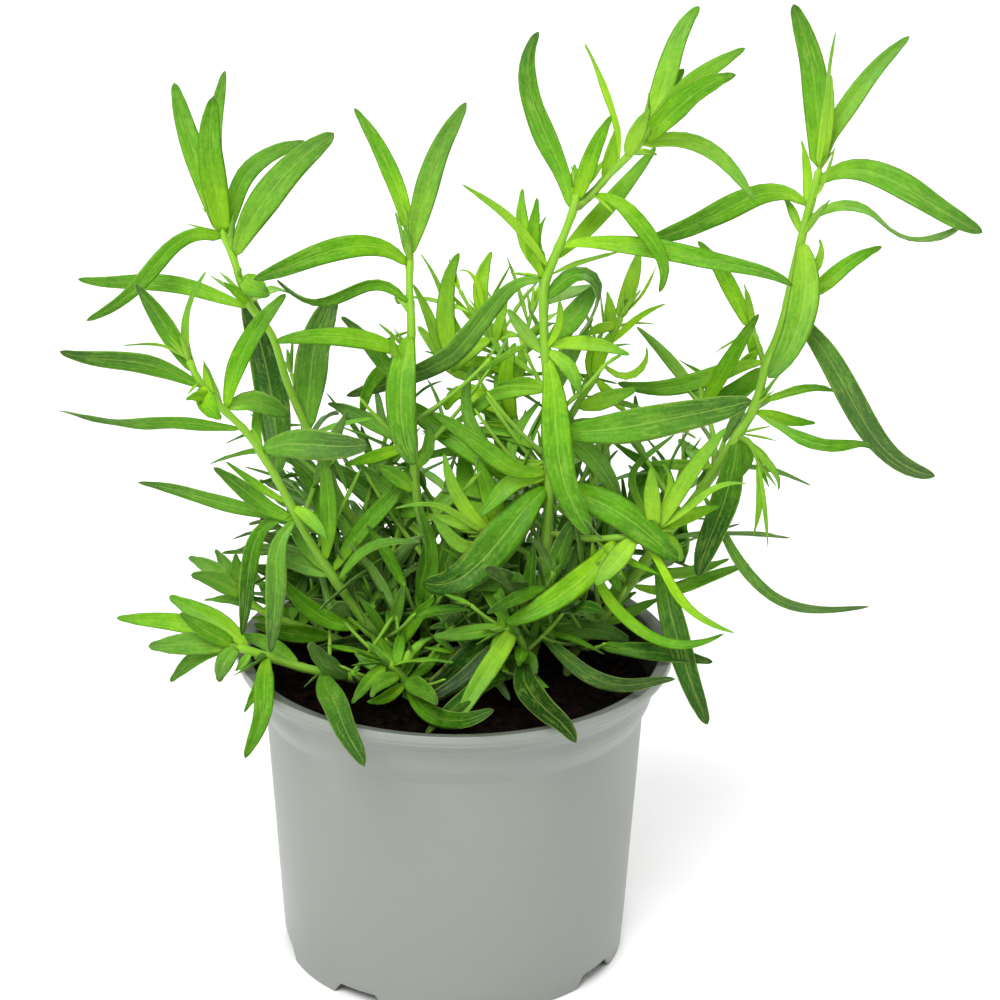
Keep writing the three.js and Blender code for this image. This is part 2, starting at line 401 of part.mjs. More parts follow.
    stem: [[-27, 8, 32], [-29, 19, 35], [-31, 30, 38], [-32, 39, 42]], leaves: [],
    fill: [16, 0.06, 1, 36, 6, 110, 330] },
  { node: 'shoot_back_middle', radii: [1.5, 0.9], foot: [4, 32],
    stem: [[4, 9, 35], [4, 21, 39], [3, 32, 44], [2, 42, 50]], leaves: [],
    fill: [18, 0.06, 1, 37, 6, 95, 330] },
  { node: 'shoot_back_right', radii: [1.4, 0.9], foot: [29, 28],
    stem: [[32, 8, 30], [36, 18, 34], [40, 28, 39], [43, 37, 45]], leaves: [],
    fill: [16, 0.06, 1, 36, 6, 70, 330] },
];

// ---- Solids and geometries ----------------------------------------------------------------------

const join = (solids) => wasm.Manifold.union(solids);

// A closed list of triangles as a solid, its faces pointing out.
function solidFrom(points, faces) {
  const volume = faces.reduce((sum, [a, b, c]) =>
    sum + points[a].dot(points[b].clone().cross(points[c])), 0);
  const outwards = volume < 0 ? faces.map(([a, b, c]) => [a, c, b]) : faces;
  return new wasm.Manifold(new wasm.Mesh({
    numProp: 3,
    vertProperties: new Float32Array(points.flatMap((p) => [p.x, p.y, p.z])),
    triVerts: new Uint32Array(outwards.flat()),
  }));
}

// A closed geometry as a solid. Its points are shared, as a solid needs.
const SHARED = 1e-3;
function solidOf(geometry) {
  const bare = geometry.clone();
  bare.deleteAttribute('normal');
  bare.deleteAttribute('uv');
  const merged = mergeVertices(bare, SHARED);
  return new wasm.Manifold(new wasm.Mesh({
    numProp: 3,
    vertProperties: merged.attributes.position.array,
    triVerts: new Uint32Array(merged.index.array),
  }));
}

function geometryOf(solid) {
  const mesh = solid.getMesh();
  const geometry = new THREE.BufferGeometry();
  geometry.setAttribute('position', new THREE.BufferAttribute(mesh.vertProperties, 3));
  geometry.setIndex(new THREE.BufferAttribute(mesh.triVerts, 1));
  geometry.computeVertexNormals();
  return geometry;
}

// A profile of [radius, height] turned round +Z.
function turned(profile, sides) {
  const points = profile.map(([radius, height]) => new THREE.Vector2(radius, height));
  return new THREE.LatheGeometry(points, sides).rotateX(Math.PI / 2);
}

// ---- Lines and sections -------------------------------------------------------------------------

function lineThrough(points) {
  const steps = [0];
  for (let i = 1; i < points.length; i++) steps.push(steps[i - 1] + points[i].distanceTo(points[i - 1]));
  return { curve: new THREE.CatmullRomCurve3(points, false, 'catmullrom', 0.5), steps, count: points.length };
}

const lengthOf = (line) => line.steps[line.count - 1];

// The point at a share of the line's length.
function along(line, share) {
  const target = Math.min(Math.max(share, 0), 1) * lengthOf(line);
  let i = 1;
  while (i < line.count - 1 && line.steps[i] < target) i++;
  const part = (target - line.steps[i - 1]) / (line.steps[i] - line.steps[i - 1]);
  return line.curve.getPoint((i - 1 + part) / (line.count - 1));
}

// The place at a share of the line: across it, and out of it towards what the blade faces.
const NUDGE = 0.01;
function frameAt(line, share, facing, turn) {
  const middle = along(line, share);
  const ahead = along(line, share + NUDGE).sub(along(line, share - NUDGE)).normalize();
  const side = ahead.clone().cross(facing(middle)).normalize();
  const face = side.clone().cross(ahead).normalize();
  const roll = THREE.MathUtils.degToRad(Array.isArray(turn) ? turn[0] + (turn[1] - turn[0]) * share : turn);
  const across = side.clone().multiplyScalar(Math.cos(roll)).addScaledVector(face, Math.sin(roll));
  const out = face.clone().multiplyScalar(Math.cos(roll)).addScaledVector(side, -Math.sin(roll));
  return { middle, across, out };
}

const towardsEye = (point) => EYE.clone().sub(point).normalize();

// A tarragon blade is narrow where it joins the stem, widest half way and ends in a blunt point. TAPER and
// BLUNT are the powers that shape its outer half.
const BASE_WIDTH = 0.2;
const WIDEST = 0.45;
const TAPER = 2.4;
const BLUNT = 0.9;
function widthShare(share) {
  if (share < WIDEST) return BASE_WIDTH + (1 - BASE_WIDTH) * Math.sin((share / WIDEST) * Math.PI / 2);
  return (1 - ((share - WIDEST) / (1 - WIDEST)) ** TAPER) ** BLUNT;
}

// ---- Stems --------------------------------------------------------------------------------------

// The stem's line above the soil. A foot stands upright under it.
function stemLine(sprig) {
  const points = sprig.stem.map(([right, up, back]) => spot(right, up, back));
  if (sprig.foot) points.unshift(new THREE.Vector3(...sprig.foot, SOIL_Z + FOOT_CLEAR));
  return lineThrough(points);
}

function stemSolid(sprig, line) {
  const points = [];
  const faces = [];
  const addRing = (middle, radius, across, out) => {
    for (let i = 0; i < STEM_SIDES; i++) {
      const angle = (i / STEM_SIDES) * 2 * Math.PI;
      const offset = across.clone().multiplyScalar(Math.cos(angle)).addScaledVector(out, Math.sin(angle));
      points.push(middle.clone().addScaledVector(offset, radius));
    }
  };
  const upright = [new THREE.Vector3(1, 0, 0), new THREE.Vector3(0, -1, 0)];
  const [low, high] = sprig.radii;
  if (sprig.foot) addRing(new THREE.Vector3(...sprig.foot, SOIL_Z - FOOT_DEPTH), low, ...upright);
  const count = Math.max(Math.ceil(lengthOf(line) / STEM_SPAN), LEAST_STEM_SPANS);
  for (let i = 0; i <= count; i++) {
    const { middle, across, out } = frameAt(line, i / count, towardsEye, 0);
    const radius = THREE.MathUtils.lerp(low, high, i / count);
    addRing(middle, radius, ...(sprig.foot && i === 0 ? upright : [across, out]));
  }
  const last = points.length - STEM_SIDES;
  for (let a = 0; a < last; a++) {
    const b = (a + 1) % STEM_SIDES === 0 ? a + 1 - STEM_SIDES : a + 1;
    faces.push([a, b, b + STEM_SIDES], [a, b + STEM_SIDES, a + STEM_SIDES]);
  }
  for (let i = 1; i < STEM_SIDES - 1; i++) faces.push([0, i + 1, i], [last, last + i, last + i + 1]);
  return solidFrom(points, faces);
}

// ---- Blades -------------------------------------------------------------------------------------

// The stem's own point nearest to a place on the sheet, and how far back it lies.
const ROOT_STEPS = 120;
function rootOn(line, right, up) {
  let best = null;
  for (let i = 0; i <= ROOT_STEPS; i++) {
    const point = along(line, i / ROOT_STEPS);
    const gap = point.distanceTo(spot(right, up, point.y));
    if (!best || gap < best.gap) best = { gap, point };
  }
  return best.point;
}

// A leaf grows out to the front or the back by at least a share of its drawn length, so that a stem has
// leaves all round. One that is given no side takes the next.
const LEAN = 0.32;
function leanOf(leaf, index) {
  const [, , back, ...sheet] = leaf;
  const reach = Math.hypot(sheet[sheet.length - 2] - sheet[0], sheet[sheet.length - 1] - sheet[1]);
  const side = Math.sign(back) || (index % 2 ? 1 : -1);
  return side * Math.max(Math.abs(back), LEAN * reach);
}

// A drawn leaf's line. bend shares its depth out: under 1 it leaves the stem's depth sooner.
function leafLine(root, leaf, back, bend) {
  const [, , , ...sheet] = leaf;
  const marks = [];
  for (let i = 2; i < sheet.length; i += 2) marks.push([sheet[i], sheet[i + 1]]);
  const reach = [0];
  let previous = [sheet[0], sheet[1]];
  for (const mark of marks) {
    reach.push(reach[reach.length - 1] + Math.hypot(mark[0] - previous[0], mark[1] - previous[1]));
    previous = mark;
  }
  const total = reach[reach.length - 1];
  const points = marks.map(([right, up], i) =>
    spot(right, up, root.y + back * (reach[i + 1] / total) ** bend));
  return lineThrough([root, ...points]);
}

// The shares of the line at which a blade has a section: more where it is long or bends.
function stations(line) {
  const { points } = line.curve;
  let bending = 0;
  for (let i = 2; i < points.length; i++) {
    const before = points[i - 1].clone().sub(points[i - 2]);
    bending += before.angleTo(points[i].clone().sub(points[i - 1]));
  }
  const wanted = Math.round(lengthOf(line) / LONG_SPAN + bending / BENT_SPAN);
  const spans = Math.min(Math.max(wanted, LEAST_SPANS), MOST_SPANS);
  const shares = [];
  for (let i = 0; i < spans; i++) shares.push((i / spans) * EVEN_SECTIONS);
  shares.push(LAST_SECTION);
  return shares;
}

// A blade's section has its left edge, its midrib's upper side, its right edge and its midrib's underside.
// A slim blade has no upper midrib: it is flat on top. Faces that lie over each other have the same
// diagonals, so a bent blade's sides never cross.
function bladeSolid(blade) {
  const points = [];
  const faces = [];
  const slim = blade.width < SLIM;
  const corners = slim ? 3 : 4;
  const shares = stations(blade.line);
  shares.forEach((share, ring) => {
    const { middle, across, out } = frameAt(blade.line, share, blade.facing, blade.turn);
    const half = (blade.width * widthShare(share)) / 2;
    const edge = middle.clone().addScaledVector(out, slim ? BLADE_THICK / 2 : 2 * half * KEEL);
    points.push(edge.clone().addScaledVector(across, -half));
    if (!slim) points.push(middle.clone().addScaledVector(out, BLADE_THICK / 2));
    points.push(edge.clone().addScaledVector(across, half));
    points.push(middle.clone().addScaledVector(out, -BLADE_THICK / 2));
    if (ring === 0) return;
    const before = (ring - 1) * corners;
    for (let i = 0; i < corners; i++) {
      const here = before + i;
      const next = before + ((i + 1) % corners);
      if (i % 2 === 0) faces.push([here, next, next + corners], [here, next + corners, here + corners]);
      else faces.push([here, next, here + corners], [next, next + corners, here + corners]);
    }
  });
  const tip = points.push(along(blade.line, 1)) - 1;
  const end = (shares.length - 1) * corners;
  for (let i = 0; i < corners; i++) faces.push([end + i, end + ((i + 1) % corners), tip]);
  for (let i = 1; i < corners - 1; i++) faces.push([0, i + 1, i]);
  return solidFrom(points, faces);
}

// ---- Keeping clear ------------------------------------------------------------------------------
// Spots on every stem and blade are kept in cells. A leaf that would cross another node, the pot or the
// soil is bent to the first depth that is clear, and one that would cross its own node away from its root
// is bent where that helps.

const CELL = 4;
const BLADE_ROOM = 1.25;
const BLADE_ROW = 2.4; // a blade has a row of spots about so often along it
const BLADE_COLUMN = 1.3; // and a spot about so often across it
const STEM_ROOM = 0.9; // added to the stem's radius
const STEM_ROW = 1.5;
const ROOT_REACH = 8; // a blade may touch its own node this near to its root
const OVER_RIM = 1; // clear space kept above the lip and outside it
const OVER_SOIL = 2;
const IN_MOUTH = 1.2; // clear space kept inside the lip
const UNDER_LIP = 6; // the lip's underside is kept clear from this far below the shoulder's top
const cells = new Map();

const cellKey = (x, y, z) => `${Math.floor(x / CELL)},${Math.floor(y / CELL)},${Math.floor(z / CELL)}`;

function keep(spots, node) {
  for (const { point, room } of spots) {
    const key = cellKey(point.x, point.y, point.z);
    if (!cells.has(key)) cells.set(key, []);
    cells.get(key).push({ point, room, node });
  }
}

function inPotOrSoil(point) {
  const radius = Math.hypot(point.x, point.y);
  if (point.z > RIM_Z + OVER_RIM) return false;
  if (radius < LIP_INNER_R - IN_MOUTH) return point.z < SOIL_Z + OVER_SOIL;
  const beside = point.z > SHOULDER_Z - UNDER_LIP ? LIP_R : SHOULDER_R;
  return radius < beside + OVER_RIM;
}

// How many of the spots run into something foreign, and how many into their own node.
function crossings(spots, node) {
  const found = { foreign: 0, own: 0 };
  for (const { point, room, nearRoot } of spots) {
    let foreign = inPotOrSoil(point);
    let own = false;
    for (let x = -CELL; x <= CELL; x += CELL) {
      for (let y = -CELL; y <= CELL; y += CELL) {
        for (let z = -CELL; z <= CELL; z += CELL) {
          for (const other of cells.get(cellKey(point.x + x, point.y + y, point.z + z)) ?? []) {
            if (point.distanceTo(other.point) > room + other.room) continue;
            if (other.node !== node) foreign = true;
            else if (!nearRoot) own = true;
          }
        }
      }
    }
    if (foreign) found.foreign++;
    if (own) found.own++;
  }
  return found;
}

function bladeSpots(blade) {
  const spots = [];
  const root = along(blade.line, 0);
  const count = Math.ceil(lengthOf(blade.line) / BLADE_ROW);
  for (let i = 1; i <= count; i++) {
    const share = i / count;
    const { middle, across, out } = frameAt(blade.line, share, blade.facing, blade.turn);
    const nearRoot = middle.distanceTo(root) < ROOT_REACH;
    const half = (blade.width * widthShare(share)) / 2;
    const columns = Math.max(Math.ceil(half / BLADE_COLUMN), 1);
    for (let j = -columns; j <= columns; j++) {
      const aside = (j / columns) * half;
      const point = middle.clone().addScaledVector(across, aside);
      point.addScaledVector(out, Math.abs(aside) * 2 * KEEL);
      spots.push({ point, room: BLADE_ROOM, nearRoot });
    }
  }
  return spots;
}

function stemSpots(sprig, line) {
  const spots = [];
  const count = Math.ceil(lengthOf(line) / STEM_ROW);
  for (let i = 0; i <= count; i++) {
    const radius = THREE.MathUtils.lerp(sprig.radii[0], sprig.radii[1], i / count);
    spots.push({ point: along(line, i / count), room: radius + STEM_ROOM });
  }
  return spots;
}

// The other depths that a drawn leaf may take, in the order in which they are tried: millimetres added to
// its own, and the bend that it takes them with.
const BENDS = [
  [0, 1], [0, 0.7], [5, 1], [-5, 1], [5, 0.6], [-5, 0.6], [10, 1], [-10, 1], [10, 0.6], [-10, 0.6],
  [16, 0.8], [-16, 0.8], [24, 0.8], [-24, 0.8], [32, 0.8], [-32, 0.8], [42, 0.7], [-42, 0.7],
];
const FOREIGN_COST = 1000;
const BEND_COST = 0.25; // for each millimetre

function drawnBlade(leaf, index, root, node) {
  const [width, turn] = leaf;
  const lean = leanOf(leaf, index);
  let best = null;
  for (const [extraBack, bend] of BENDS) {
    const line = leafLine(root, leaf, lean + extraBack, bend);
    const blade = { line, width: width + MARGIN, turn, facing: towardsEye };
    const spots = bladeSpots(blade);
    const { foreign, own } = crossings(spots, node);
    const cost = foreign * FOREIGN_COST + own + Math.abs(extraBack) * BEND_COST;
    if (!best || cost < best.cost) best = { blade, spots, cost };
    if (foreign + own === 0) break;
  }
  keep(best.spots, node);
  return best.blade;
}

// ---- Leaves set by rule -------------------------------------------------------------------------

// A small repeatable draw between 0 and 1 for the number given.
function draw(number) {
  const value = Math.sin(number * 12.9898 + 4.1414) * 43758.5453;
  return value - Math.floor(value);
}

const GOLDEN = THREE.MathUtils.degToRad(137.508);
const FILL_TOP = 63; // no leaf set by rule reaches above this on the sheet,
const FILL_RISE = 8; // or so far above its own root
const FILL_TRIES = 8;
const FILL_TOUCHES = 1;
const WANDER = 1.2; // radians by which a leaf leaves the golden angle
const LIFT = [12, 46]; // least lift in degrees, and how much more there may be
const REACH = [0.75, 0.5]; // the same for its length, as a share of the length given
const DROOP = [0.1, 0.4]; // for how far its tip hangs, as a share of its length
const WIDTH = [0.8, 0.4]; // and for its width, as a share of the width given
const ROLL_RANGE = 40; // degrees by which a blade may be rolled, from one side to the other
const FACE_LIFT = Math.PI / 2 - 0.5; // a blade faces up, and this much back over its stem
const MARKS = [0, 0.33, 0.67, 1];
const outOfStem = (heading, lift) => new THREE.Vector3(
  Math.cos(heading) * Math.cos(lift), Math.sin(heading) * Math.cos(lift), Math.sin(lift));

function sheetHeight(point) {
  const ray = point.clone().sub(EYE);
  const normal = SHEET_RIGHT.clone().cross(SHEET_UP);
  const scale = RIM_CENTRE.clone().sub(EYE).dot(normal) / ray.dot(normal);
  return EYE.clone().addScaledVector(ray, scale).sub(RIM_CENTRE).dot(SHEET_UP);
}

function ruleBlades(sprig, line, seed) {
  const [count, from, to, length, width, heading, spread] = sprig.fill;
  const drawn = ([least, more], number) => least + more * draw(number);
  const middle = THREE.MathUtils.degToRad(heading);
  const half = THREE.MathUtils.degToRad(spread / 2);
  const blades = [];
  for (let i = 0; i < count; i++) {
    for (let attempt = 0; attempt < FILL_TRIES; attempt++) {
      const number = seed * 1000 + i * 10 + attempt;
      const share = from + (to - from) * ((i + 0.5 + 0.5 * (draw(number + 0.1) - 0.5)) / count);
      const root = along(line, share);
      const swing = (i * GOLDEN + draw(number + 0.2) * WANDER) % (2 * Math.PI);
      const way = middle + half * (swing / Math.PI - 1);
      const lift = THREE.MathUtils.degToRad(drawn(LIFT, number + 0.3));
      const reach = length * drawn(REACH, number + 0.4);
      const droop = reach * drawn(DROOP, number + 0.5);
      const ahead = outOfStem(way, lift);
      const points = MARKS.map((s) => {
        const point = root.clone().addScaledVector(ahead, reach * s);
        point.z -= droop * s * s;
        return point;
      });
      const blade = {
        line: lineThrough(points),
        width: width * drawn(WIDTH, number + 0.6),
        turn: ROLL_RANGE * (draw(number + 0.7) - 0.5),
        facing: () => outOfStem(way + Math.PI, FACE_LIFT),
      };
      const top = Math.max(sheetHeight(points[2]), sheetHeight(points[3]));
      if (top > Math.max(FILL_TOP, sheetHeight(root) + FILL_RISE)) continue;
      const spots = bladeSpots(blade);
      const { foreign, own } = crossings(spots, sprig.node);
      if (foreign > 0 || own > FILL_TOUCHES) continue;
      keep(spots, sprig.node);
      blades.push(blade);
      break;
    }
  }
  return blades;
}

// ---- The plant ----------------------------------------------------------------------------------

const lines = SPRIGS.map(stemLine);
SPRIGS.forEach((sprig, i) => keep(stemSpots(sprig, lines[i]), sprig.node));
const drawn = SPRIGS.map((sprig, i) => sprig.leaves.map((leaf, index) =>
  drawnBlade(leaf, index, rootOn(lines[i], leaf[3], leaf[4]), sprig.node)));
const ruled = SPRIGS.map((sprig, i) => (sprig.fill ? ruleBlades(sprig, lines[i], i + 1) : []));

function plantSolids() {
  const parts = new Map();
  SPRIGS.forEach((sprig, i) => {
    if (!parts.has(sprig.node)) parts.set(sprig.node, []);
    parts.get(sprig.node).push(
      stemSolid(sprig, lines[i]), ...drawn[i].map(bladeSolid), ...ruled[i].map(bladeSolid));
  });
  return new Map([...parts].map(([node, solids]) => [node, join(solids)]));
}

// ---- The pot ------------------------------------------------------------------------------------

// The body's slope is a little steeper above the band at its foot.
function bodyRadius(z) {
  if (z < FOOT_BAND_Z) return THREE.MathUtils.lerp(FOOT_R, FOOT_BAND_R, z / FOOT_BAND_Z);
  return THREE.MathUtils.lerp(FOOT_BAND_R, BODY_R, (z - FOOT_BAND_Z) / (STEP_Z - FOOT_BAND_Z));
}

// The walls have one thickness. The inner line follows the outer one from the lip down to the floor, which
// rises from the pad in the middle to a ring.
function potSolid() {
  const floorTop = FLOOR_LIFT + WALL;
  const shell = solidOf(turned([
    [0, 0], [FLOOR_PAD_R, 0], [FLOOR_PAD_R + FLOOR_PAD_RAMP, FLOOR_LIFT], [FLOOR_RING_R, FLOOR_LIFT],
    [FOOT_R - EDGE - FOOT_FACE, 0], [FOOT_R - EDGE, 0], [FOOT_R, 2 * EDGE],
    [FOOT_BAND_R, FOOT_BAND_Z], [BODY_R, STEP_Z - 0.6],
    [SHOULDER_R - 0.6, CHAMFER_Z], [SHOULDER_R, SHOULDER_Z], [LIP_R - 3.4, SHOULDER_Z + 3.4],
    [LIP_R - 0.2, RIM_Z - WALL], [LIP_R - EDGE, RIM_Z], [LIP_INNER_R, RIM_Z - LIP_FALL],
    [SHOULDER_R - WALL, SHOULDER_Z - 1], [SHOULDER_R - WALL - 0.6, CHAMFER_Z + 0.4],
    [BODY_R - WALL, STEP_Z - 1], [bodyRadius(floorTop) - WALL, floorTop],
    [FLOOR_PAD_R + FLOOR_PAD_RAMP / 2, floorTop], [FLOOR_PAD_R - FLOOR_PAD_RAMP / 2, WALL], [0, WALL],
  ], POT_SIDES));
  const cuts = [];
  for (let i = 0; i < NOTCHES; i++) {
    const azimuth = NOTCH_FIRST + (360 / NOTCHES) * i;
    const outline = new THREE.Shape([
      new THREE.Vector2(-NOTCH_HALF - NOTCH_RAMP, 0), new THREE.Vector2(-NOTCH_HALF - NOTCH_RAMP, -NOTCH_CUT),
      new THREE.Vector2(NOTCH_HALF + NOTCH_RAMP, -NOTCH_CUT), new THREE.Vector2(NOTCH_HALF + NOTCH_RAMP, 0),
      new THREE.Vector2(NOTCH_HALF, NOTCH_HEIGHT), new THREE.Vector2(-NOTCH_HALF, NOTCH_HEIGHT)]);
    const wedge = new THREE.ExtrudeGeometry(outline, { depth: NOTCH_CUT, bevelEnabled: false });
    wedge.rotateX(Math.PI / 2).translate(0, -FLOOR_RING_R + 1, 0);
    cuts.push(solidOf(wedge.rotateZ(THREE.MathUtils.degToRad(azimuth))));
    const drain = new THREE.CylinderGeometry(DRAIN_R, DRAIN_R, 4 * FLOOR_LIFT, DRAIN_SIDES);
    drain.rotateX(Math.PI / 2).translate(0, -DRAIN_RING_R, FLOOR_LIFT);
    cuts.push(solidOf(drain.rotateZ(THREE.MathUtils.degToRad(azimuth + 180 / NOTCHES))));
  }
  return shell.subtract(join(cuts));
}

// ---- The root ball ------------------------------------------------------------------------------

// The soil's surface is heaped a little, with shallow waves.
function soilHeight(x, y) {
  const radius = Math.hypot(x, y);
  const wave = 0.6 * Math.sin(x * 0.31 + 1) * Math.cos(y * 0.27) + 0.4 * Math.sin(x * 0.12 - y * 0.19);
  return SOIL_Z - 1 + wave + 0.8 * Math.cos(radius / LIP_R * 1.6);
}

function soilSolid() {
  const bottom = FLOOR_LIFT + WALL + SOIL_GAP;
  const inside = WALL + SOIL_GAP;
  const geometry = turned([
    [0, bottom], [bodyRadius(bottom) - inside, bottom], [BODY_R - inside, STEP_Z - 1.4],
    [SHOULDER_R - inside - 0.6, CHAMFER_Z + 0.6], [SHOULDER_R - inside - 0.5, SOIL_EDGE],
    ...SOIL_RINGS.map((radius) => [radius, SOIL_Z]),
  ], POT_SIDES);
  const position = geometry.attributes.position;
  for (let i = 0; i < position.count; i++) {
    if (position.getZ(i) > SOIL_EDGE + 1) position.setZ(i, soilHeight(position.getX(i), position.getY(i)));
  }
  const holes = SPRIGS.filter((sprig) => sprig.foot).map(({ foot: [x, y], radii: [radius] }) => {
    const depth = FOOT_DEPTH + 1 + HOLE_OVER;
    const hole = new THREE.CylinderGeometry(radius + HOLE_GAP, radius + HOLE_GAP, depth, HOLE_SIDES);
    return solidOf(hole.rotateX(Math.PI / 2).translate(x, y, SOIL_Z + HOLE_OVER - depth / 2));
  });
  return solidOf(geometry).subtract(join(holes));
}

// ---- The object ---------------------------------------------------------------------------------

const grey = () => new THREE.MeshStandardMaterial({ color: 0xa3a7a0, roughness: 0.5, metalness: 0 });
const peat = () => new THREE.MeshStandardMaterial({ color: 0x1c1310, roughness: 1, metalness: 0 });
const green = () => new THREE.MeshStandardMaterial({ color: 0x4f9a1e, roughness: 0.55, metalness: 0 });

function named(name, solid, material) {
  const mesh = new THREE.Mesh(geometryOf(solid), material);
  mesh.name = name;
  return mesh;
}

const plant = new THREE.Group();
plant.add(named('pot', potSolid(), grey()));
plant.add(named('soil', soilSolid(), peat()));
for (const [node, solid] of plantSolids()) plant.add(named(node, solid, green()));

export default plant;
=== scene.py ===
# %% [markdown]
# # A tarragon plant in its grey pot
# Twelve leafy stems stand in a pot of peat. Each stem is one living piece: a ridged green stalk, its long
# narrow leaves, the small leaves in their axils and the bud at its tip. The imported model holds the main
# shapes as plain solids. Here every one of them is replaced by a finer piece that grows by the same rules.

# %% Load the fixed model
import math
import random

import bmesh
import bpy
import numpy as np
from mathutils import Matrix, Vector, noise


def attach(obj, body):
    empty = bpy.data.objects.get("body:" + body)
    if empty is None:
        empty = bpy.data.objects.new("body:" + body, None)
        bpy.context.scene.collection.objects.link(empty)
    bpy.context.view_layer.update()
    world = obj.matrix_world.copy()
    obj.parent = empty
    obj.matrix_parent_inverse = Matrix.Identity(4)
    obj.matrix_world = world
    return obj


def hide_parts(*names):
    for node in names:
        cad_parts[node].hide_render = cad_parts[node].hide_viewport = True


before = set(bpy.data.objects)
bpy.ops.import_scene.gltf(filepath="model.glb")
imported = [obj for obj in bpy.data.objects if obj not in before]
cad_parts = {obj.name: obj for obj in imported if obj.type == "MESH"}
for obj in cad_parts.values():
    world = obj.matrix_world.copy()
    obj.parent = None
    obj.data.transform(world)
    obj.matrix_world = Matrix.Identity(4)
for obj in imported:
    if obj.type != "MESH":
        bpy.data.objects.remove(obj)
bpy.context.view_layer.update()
print("nodes:", ", ".join(sorted(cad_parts)))

# %% [markdown]
# ## Where the viewer stands
# The plant is laid out as it looks to an eye in front of the pot, so the camera comes first. It is a long
# lens almost a metre away, looking down a little, as for a catalogue picture. `spot` turns a place on a
# sheet through the rim's centre, and a depth, into a point in space. Lengths are in millimetres until a
# mesh is finished.

# %% Camera and drawing sheet
MM = 0.001
RIM_Z = 97.0
EYE = np.array([0.0, -915.4, 499.6])
RIM_CENTRE = np.array([0.0, 0.0, RIM_Z])
PITCH, YAW, ROLL = (math.radians(angle) for angle in (21.27, 0.82, 0.5))
AHEAD = np.array([math.sin(YAW) * math.cos(PITCH), math.cos(YAW) * math.cos(PITCH), -math.sin(PITCH)])
LEVEL = np.array([math.cos(YAW), -math.sin(YAW), 0.0])
STEEP = np.array([math.sin(YAW) * math.sin(PITCH), math.cos(YAW) * math.sin(PITCH), math.cos(PITCH)])
SHEET_RIGHT = LEVEL * math.cos(ROLL) + STEEP * math.sin(ROLL)
SHEET_UP = STEEP * math.cos(ROLL) - LEVEL * math.sin(ROLL)
LENS = 120.5
NEAREST_SEEN, FARTHEST_SEEN = 0.05, 20.0


def spot(right, up, back):
    """The point that looks to lie at (right, up) on the sheet and lies at depth back."""
    on_sheet = RIM_CENTRE + np.multiply.outer(right, SHEET_RIGHT) + np.multiply.outer(up, SHEET_UP)
    share = (back - EYE[1]) / (on_sheet[..., 1] - EYE[1])
    return EYE + (on_sheet - EYE) * np.asarray(share)[..., None]


camera_data = bpy.data.cameras.new("camera")
camera_data.lens = LENS
camera_data.clip_start, camera_data.clip_end = NEAREST_SEEN, FARTHEST_SEEN
camera = bpy.data.objects.new("camera", camera_data)
bpy.context.scene.collection.objects.link(camera)
basis = np.column_stack([SHEET_RIGHT, SHEET_UP, -AHEAD])
camera.matrix_world = Matrix([[*basis[row], EYE[row] * MM] for row in range(3)] + [[0, 0, 0, 1]])
bpy.context.scene.camera = camera
print("camera", [round(value * MM, 3) for value in EYE])

# %% [markdown]
# ## Lines
# A stem or a leaf follows one smooth line through the points that it was given. A Catmull-Rom spline goes
# through its own points, so what is drawn is what grows. `across` and `out` say at every place on the line
# where a blade's width and its upper face go.

# %% Lines and the frames on them
NUDGE = 0.01


def unit(vectors):
    return vectors / np.linalg.norm(vectors, axis=-1, keepdims=True)


def line_through(points):
    points = np.array(points, float)
    steps = np.concatenate([[0], np.cumsum(np.linalg.norm(np.diff(points, axis=0), axis=1))])
    ends = 2 * points[0] - points[1], 2 * points[-1] - points[-2]
    return np.vstack([ends[0], points, ends[1]]), steps


def length_of(line):
    return line[1][-1]


def along(line, share):
    """The points at these shares of the line's length."""
    points, steps = line
    target = np.clip(share, 0, 1) * steps[-1]
    i = np.searchsorted(steps[1:-1], target)
    part = ((target - steps[i]) / (steps[i + 1] - steps[i]))[..., None]
    before, start, end, after = (points[i + k] for k in range(4))
    leave, arrive = (end - before) / 2, (after - start) / 2
    return (start + leave * part + (3 * (end - start) - 2 * leave - arrive) * part ** 2
            + (2 * (start - end) + leave + arrive) * part ** 3)


def towards_eye(points):
    return unit(EYE - points)


def frames(line, share, facing, turn):
    """The middle, the direction across and the direction out of the blade at these shares."""
    share = np.asarray(share, float)
    middle = along(line, share)
    ahead = unit(along(line, share + NUDGE) - along(line, share - NUDGE))
    side = unit(np.cross(ahead, facing(middle)))
    face = unit(np.cross(side, ahead))
    first, last = turn if isinstance(turn, (list, tuple)) else (turn, turn)
    roll = np.radians(first + (last - first) * share)[..., None]
    return middle, side * np.cos(roll) + face * np.sin(roll), face * np.cos(roll) - side * np.sin(roll)


# %% [markdown]
# ## Keeping clear
# In a bushy plant every leaf finds its own way between the others. Spots on all that has grown are kept in
# small cells. A new leaf tries its drawn depth first and then a few others, and takes the first that is
# clear of the pot, the peat and the other stems.

# %% Cells of kept spots
SOIL_Z, SHOULDER_Z, SHOULDER_R, LIP_R, LIP_INNER_R = 87.0, 88.0, 59.6, 65.0, 60.6
POT_ROOM, LIP_ROOM, SOIL_ROOM, SHOULDER_DEPTH = 1, 1.2, 2, 6
CELL = 4.0
BLADE_ROOM, STEM_ROOM, ROOT_REACH = 1.25, 0.9, 8.0
KEEL = 0.1
SPOTS_ALONG, SPOTS_ASIDE, STEM_SPOTS_ALONG = 2.4, 1.3, 1.5
SOLID_WIDEST, SOLID_TAPER, SOLID_BASE, SOLID_RISE = 0.45, 0.55, 0.2, 0.8
NEAR = [(x, y, z) for x in (-1, 0, 1) for y in (-1, 0, 1) for z in (-1, 0, 1)]
cells = {}


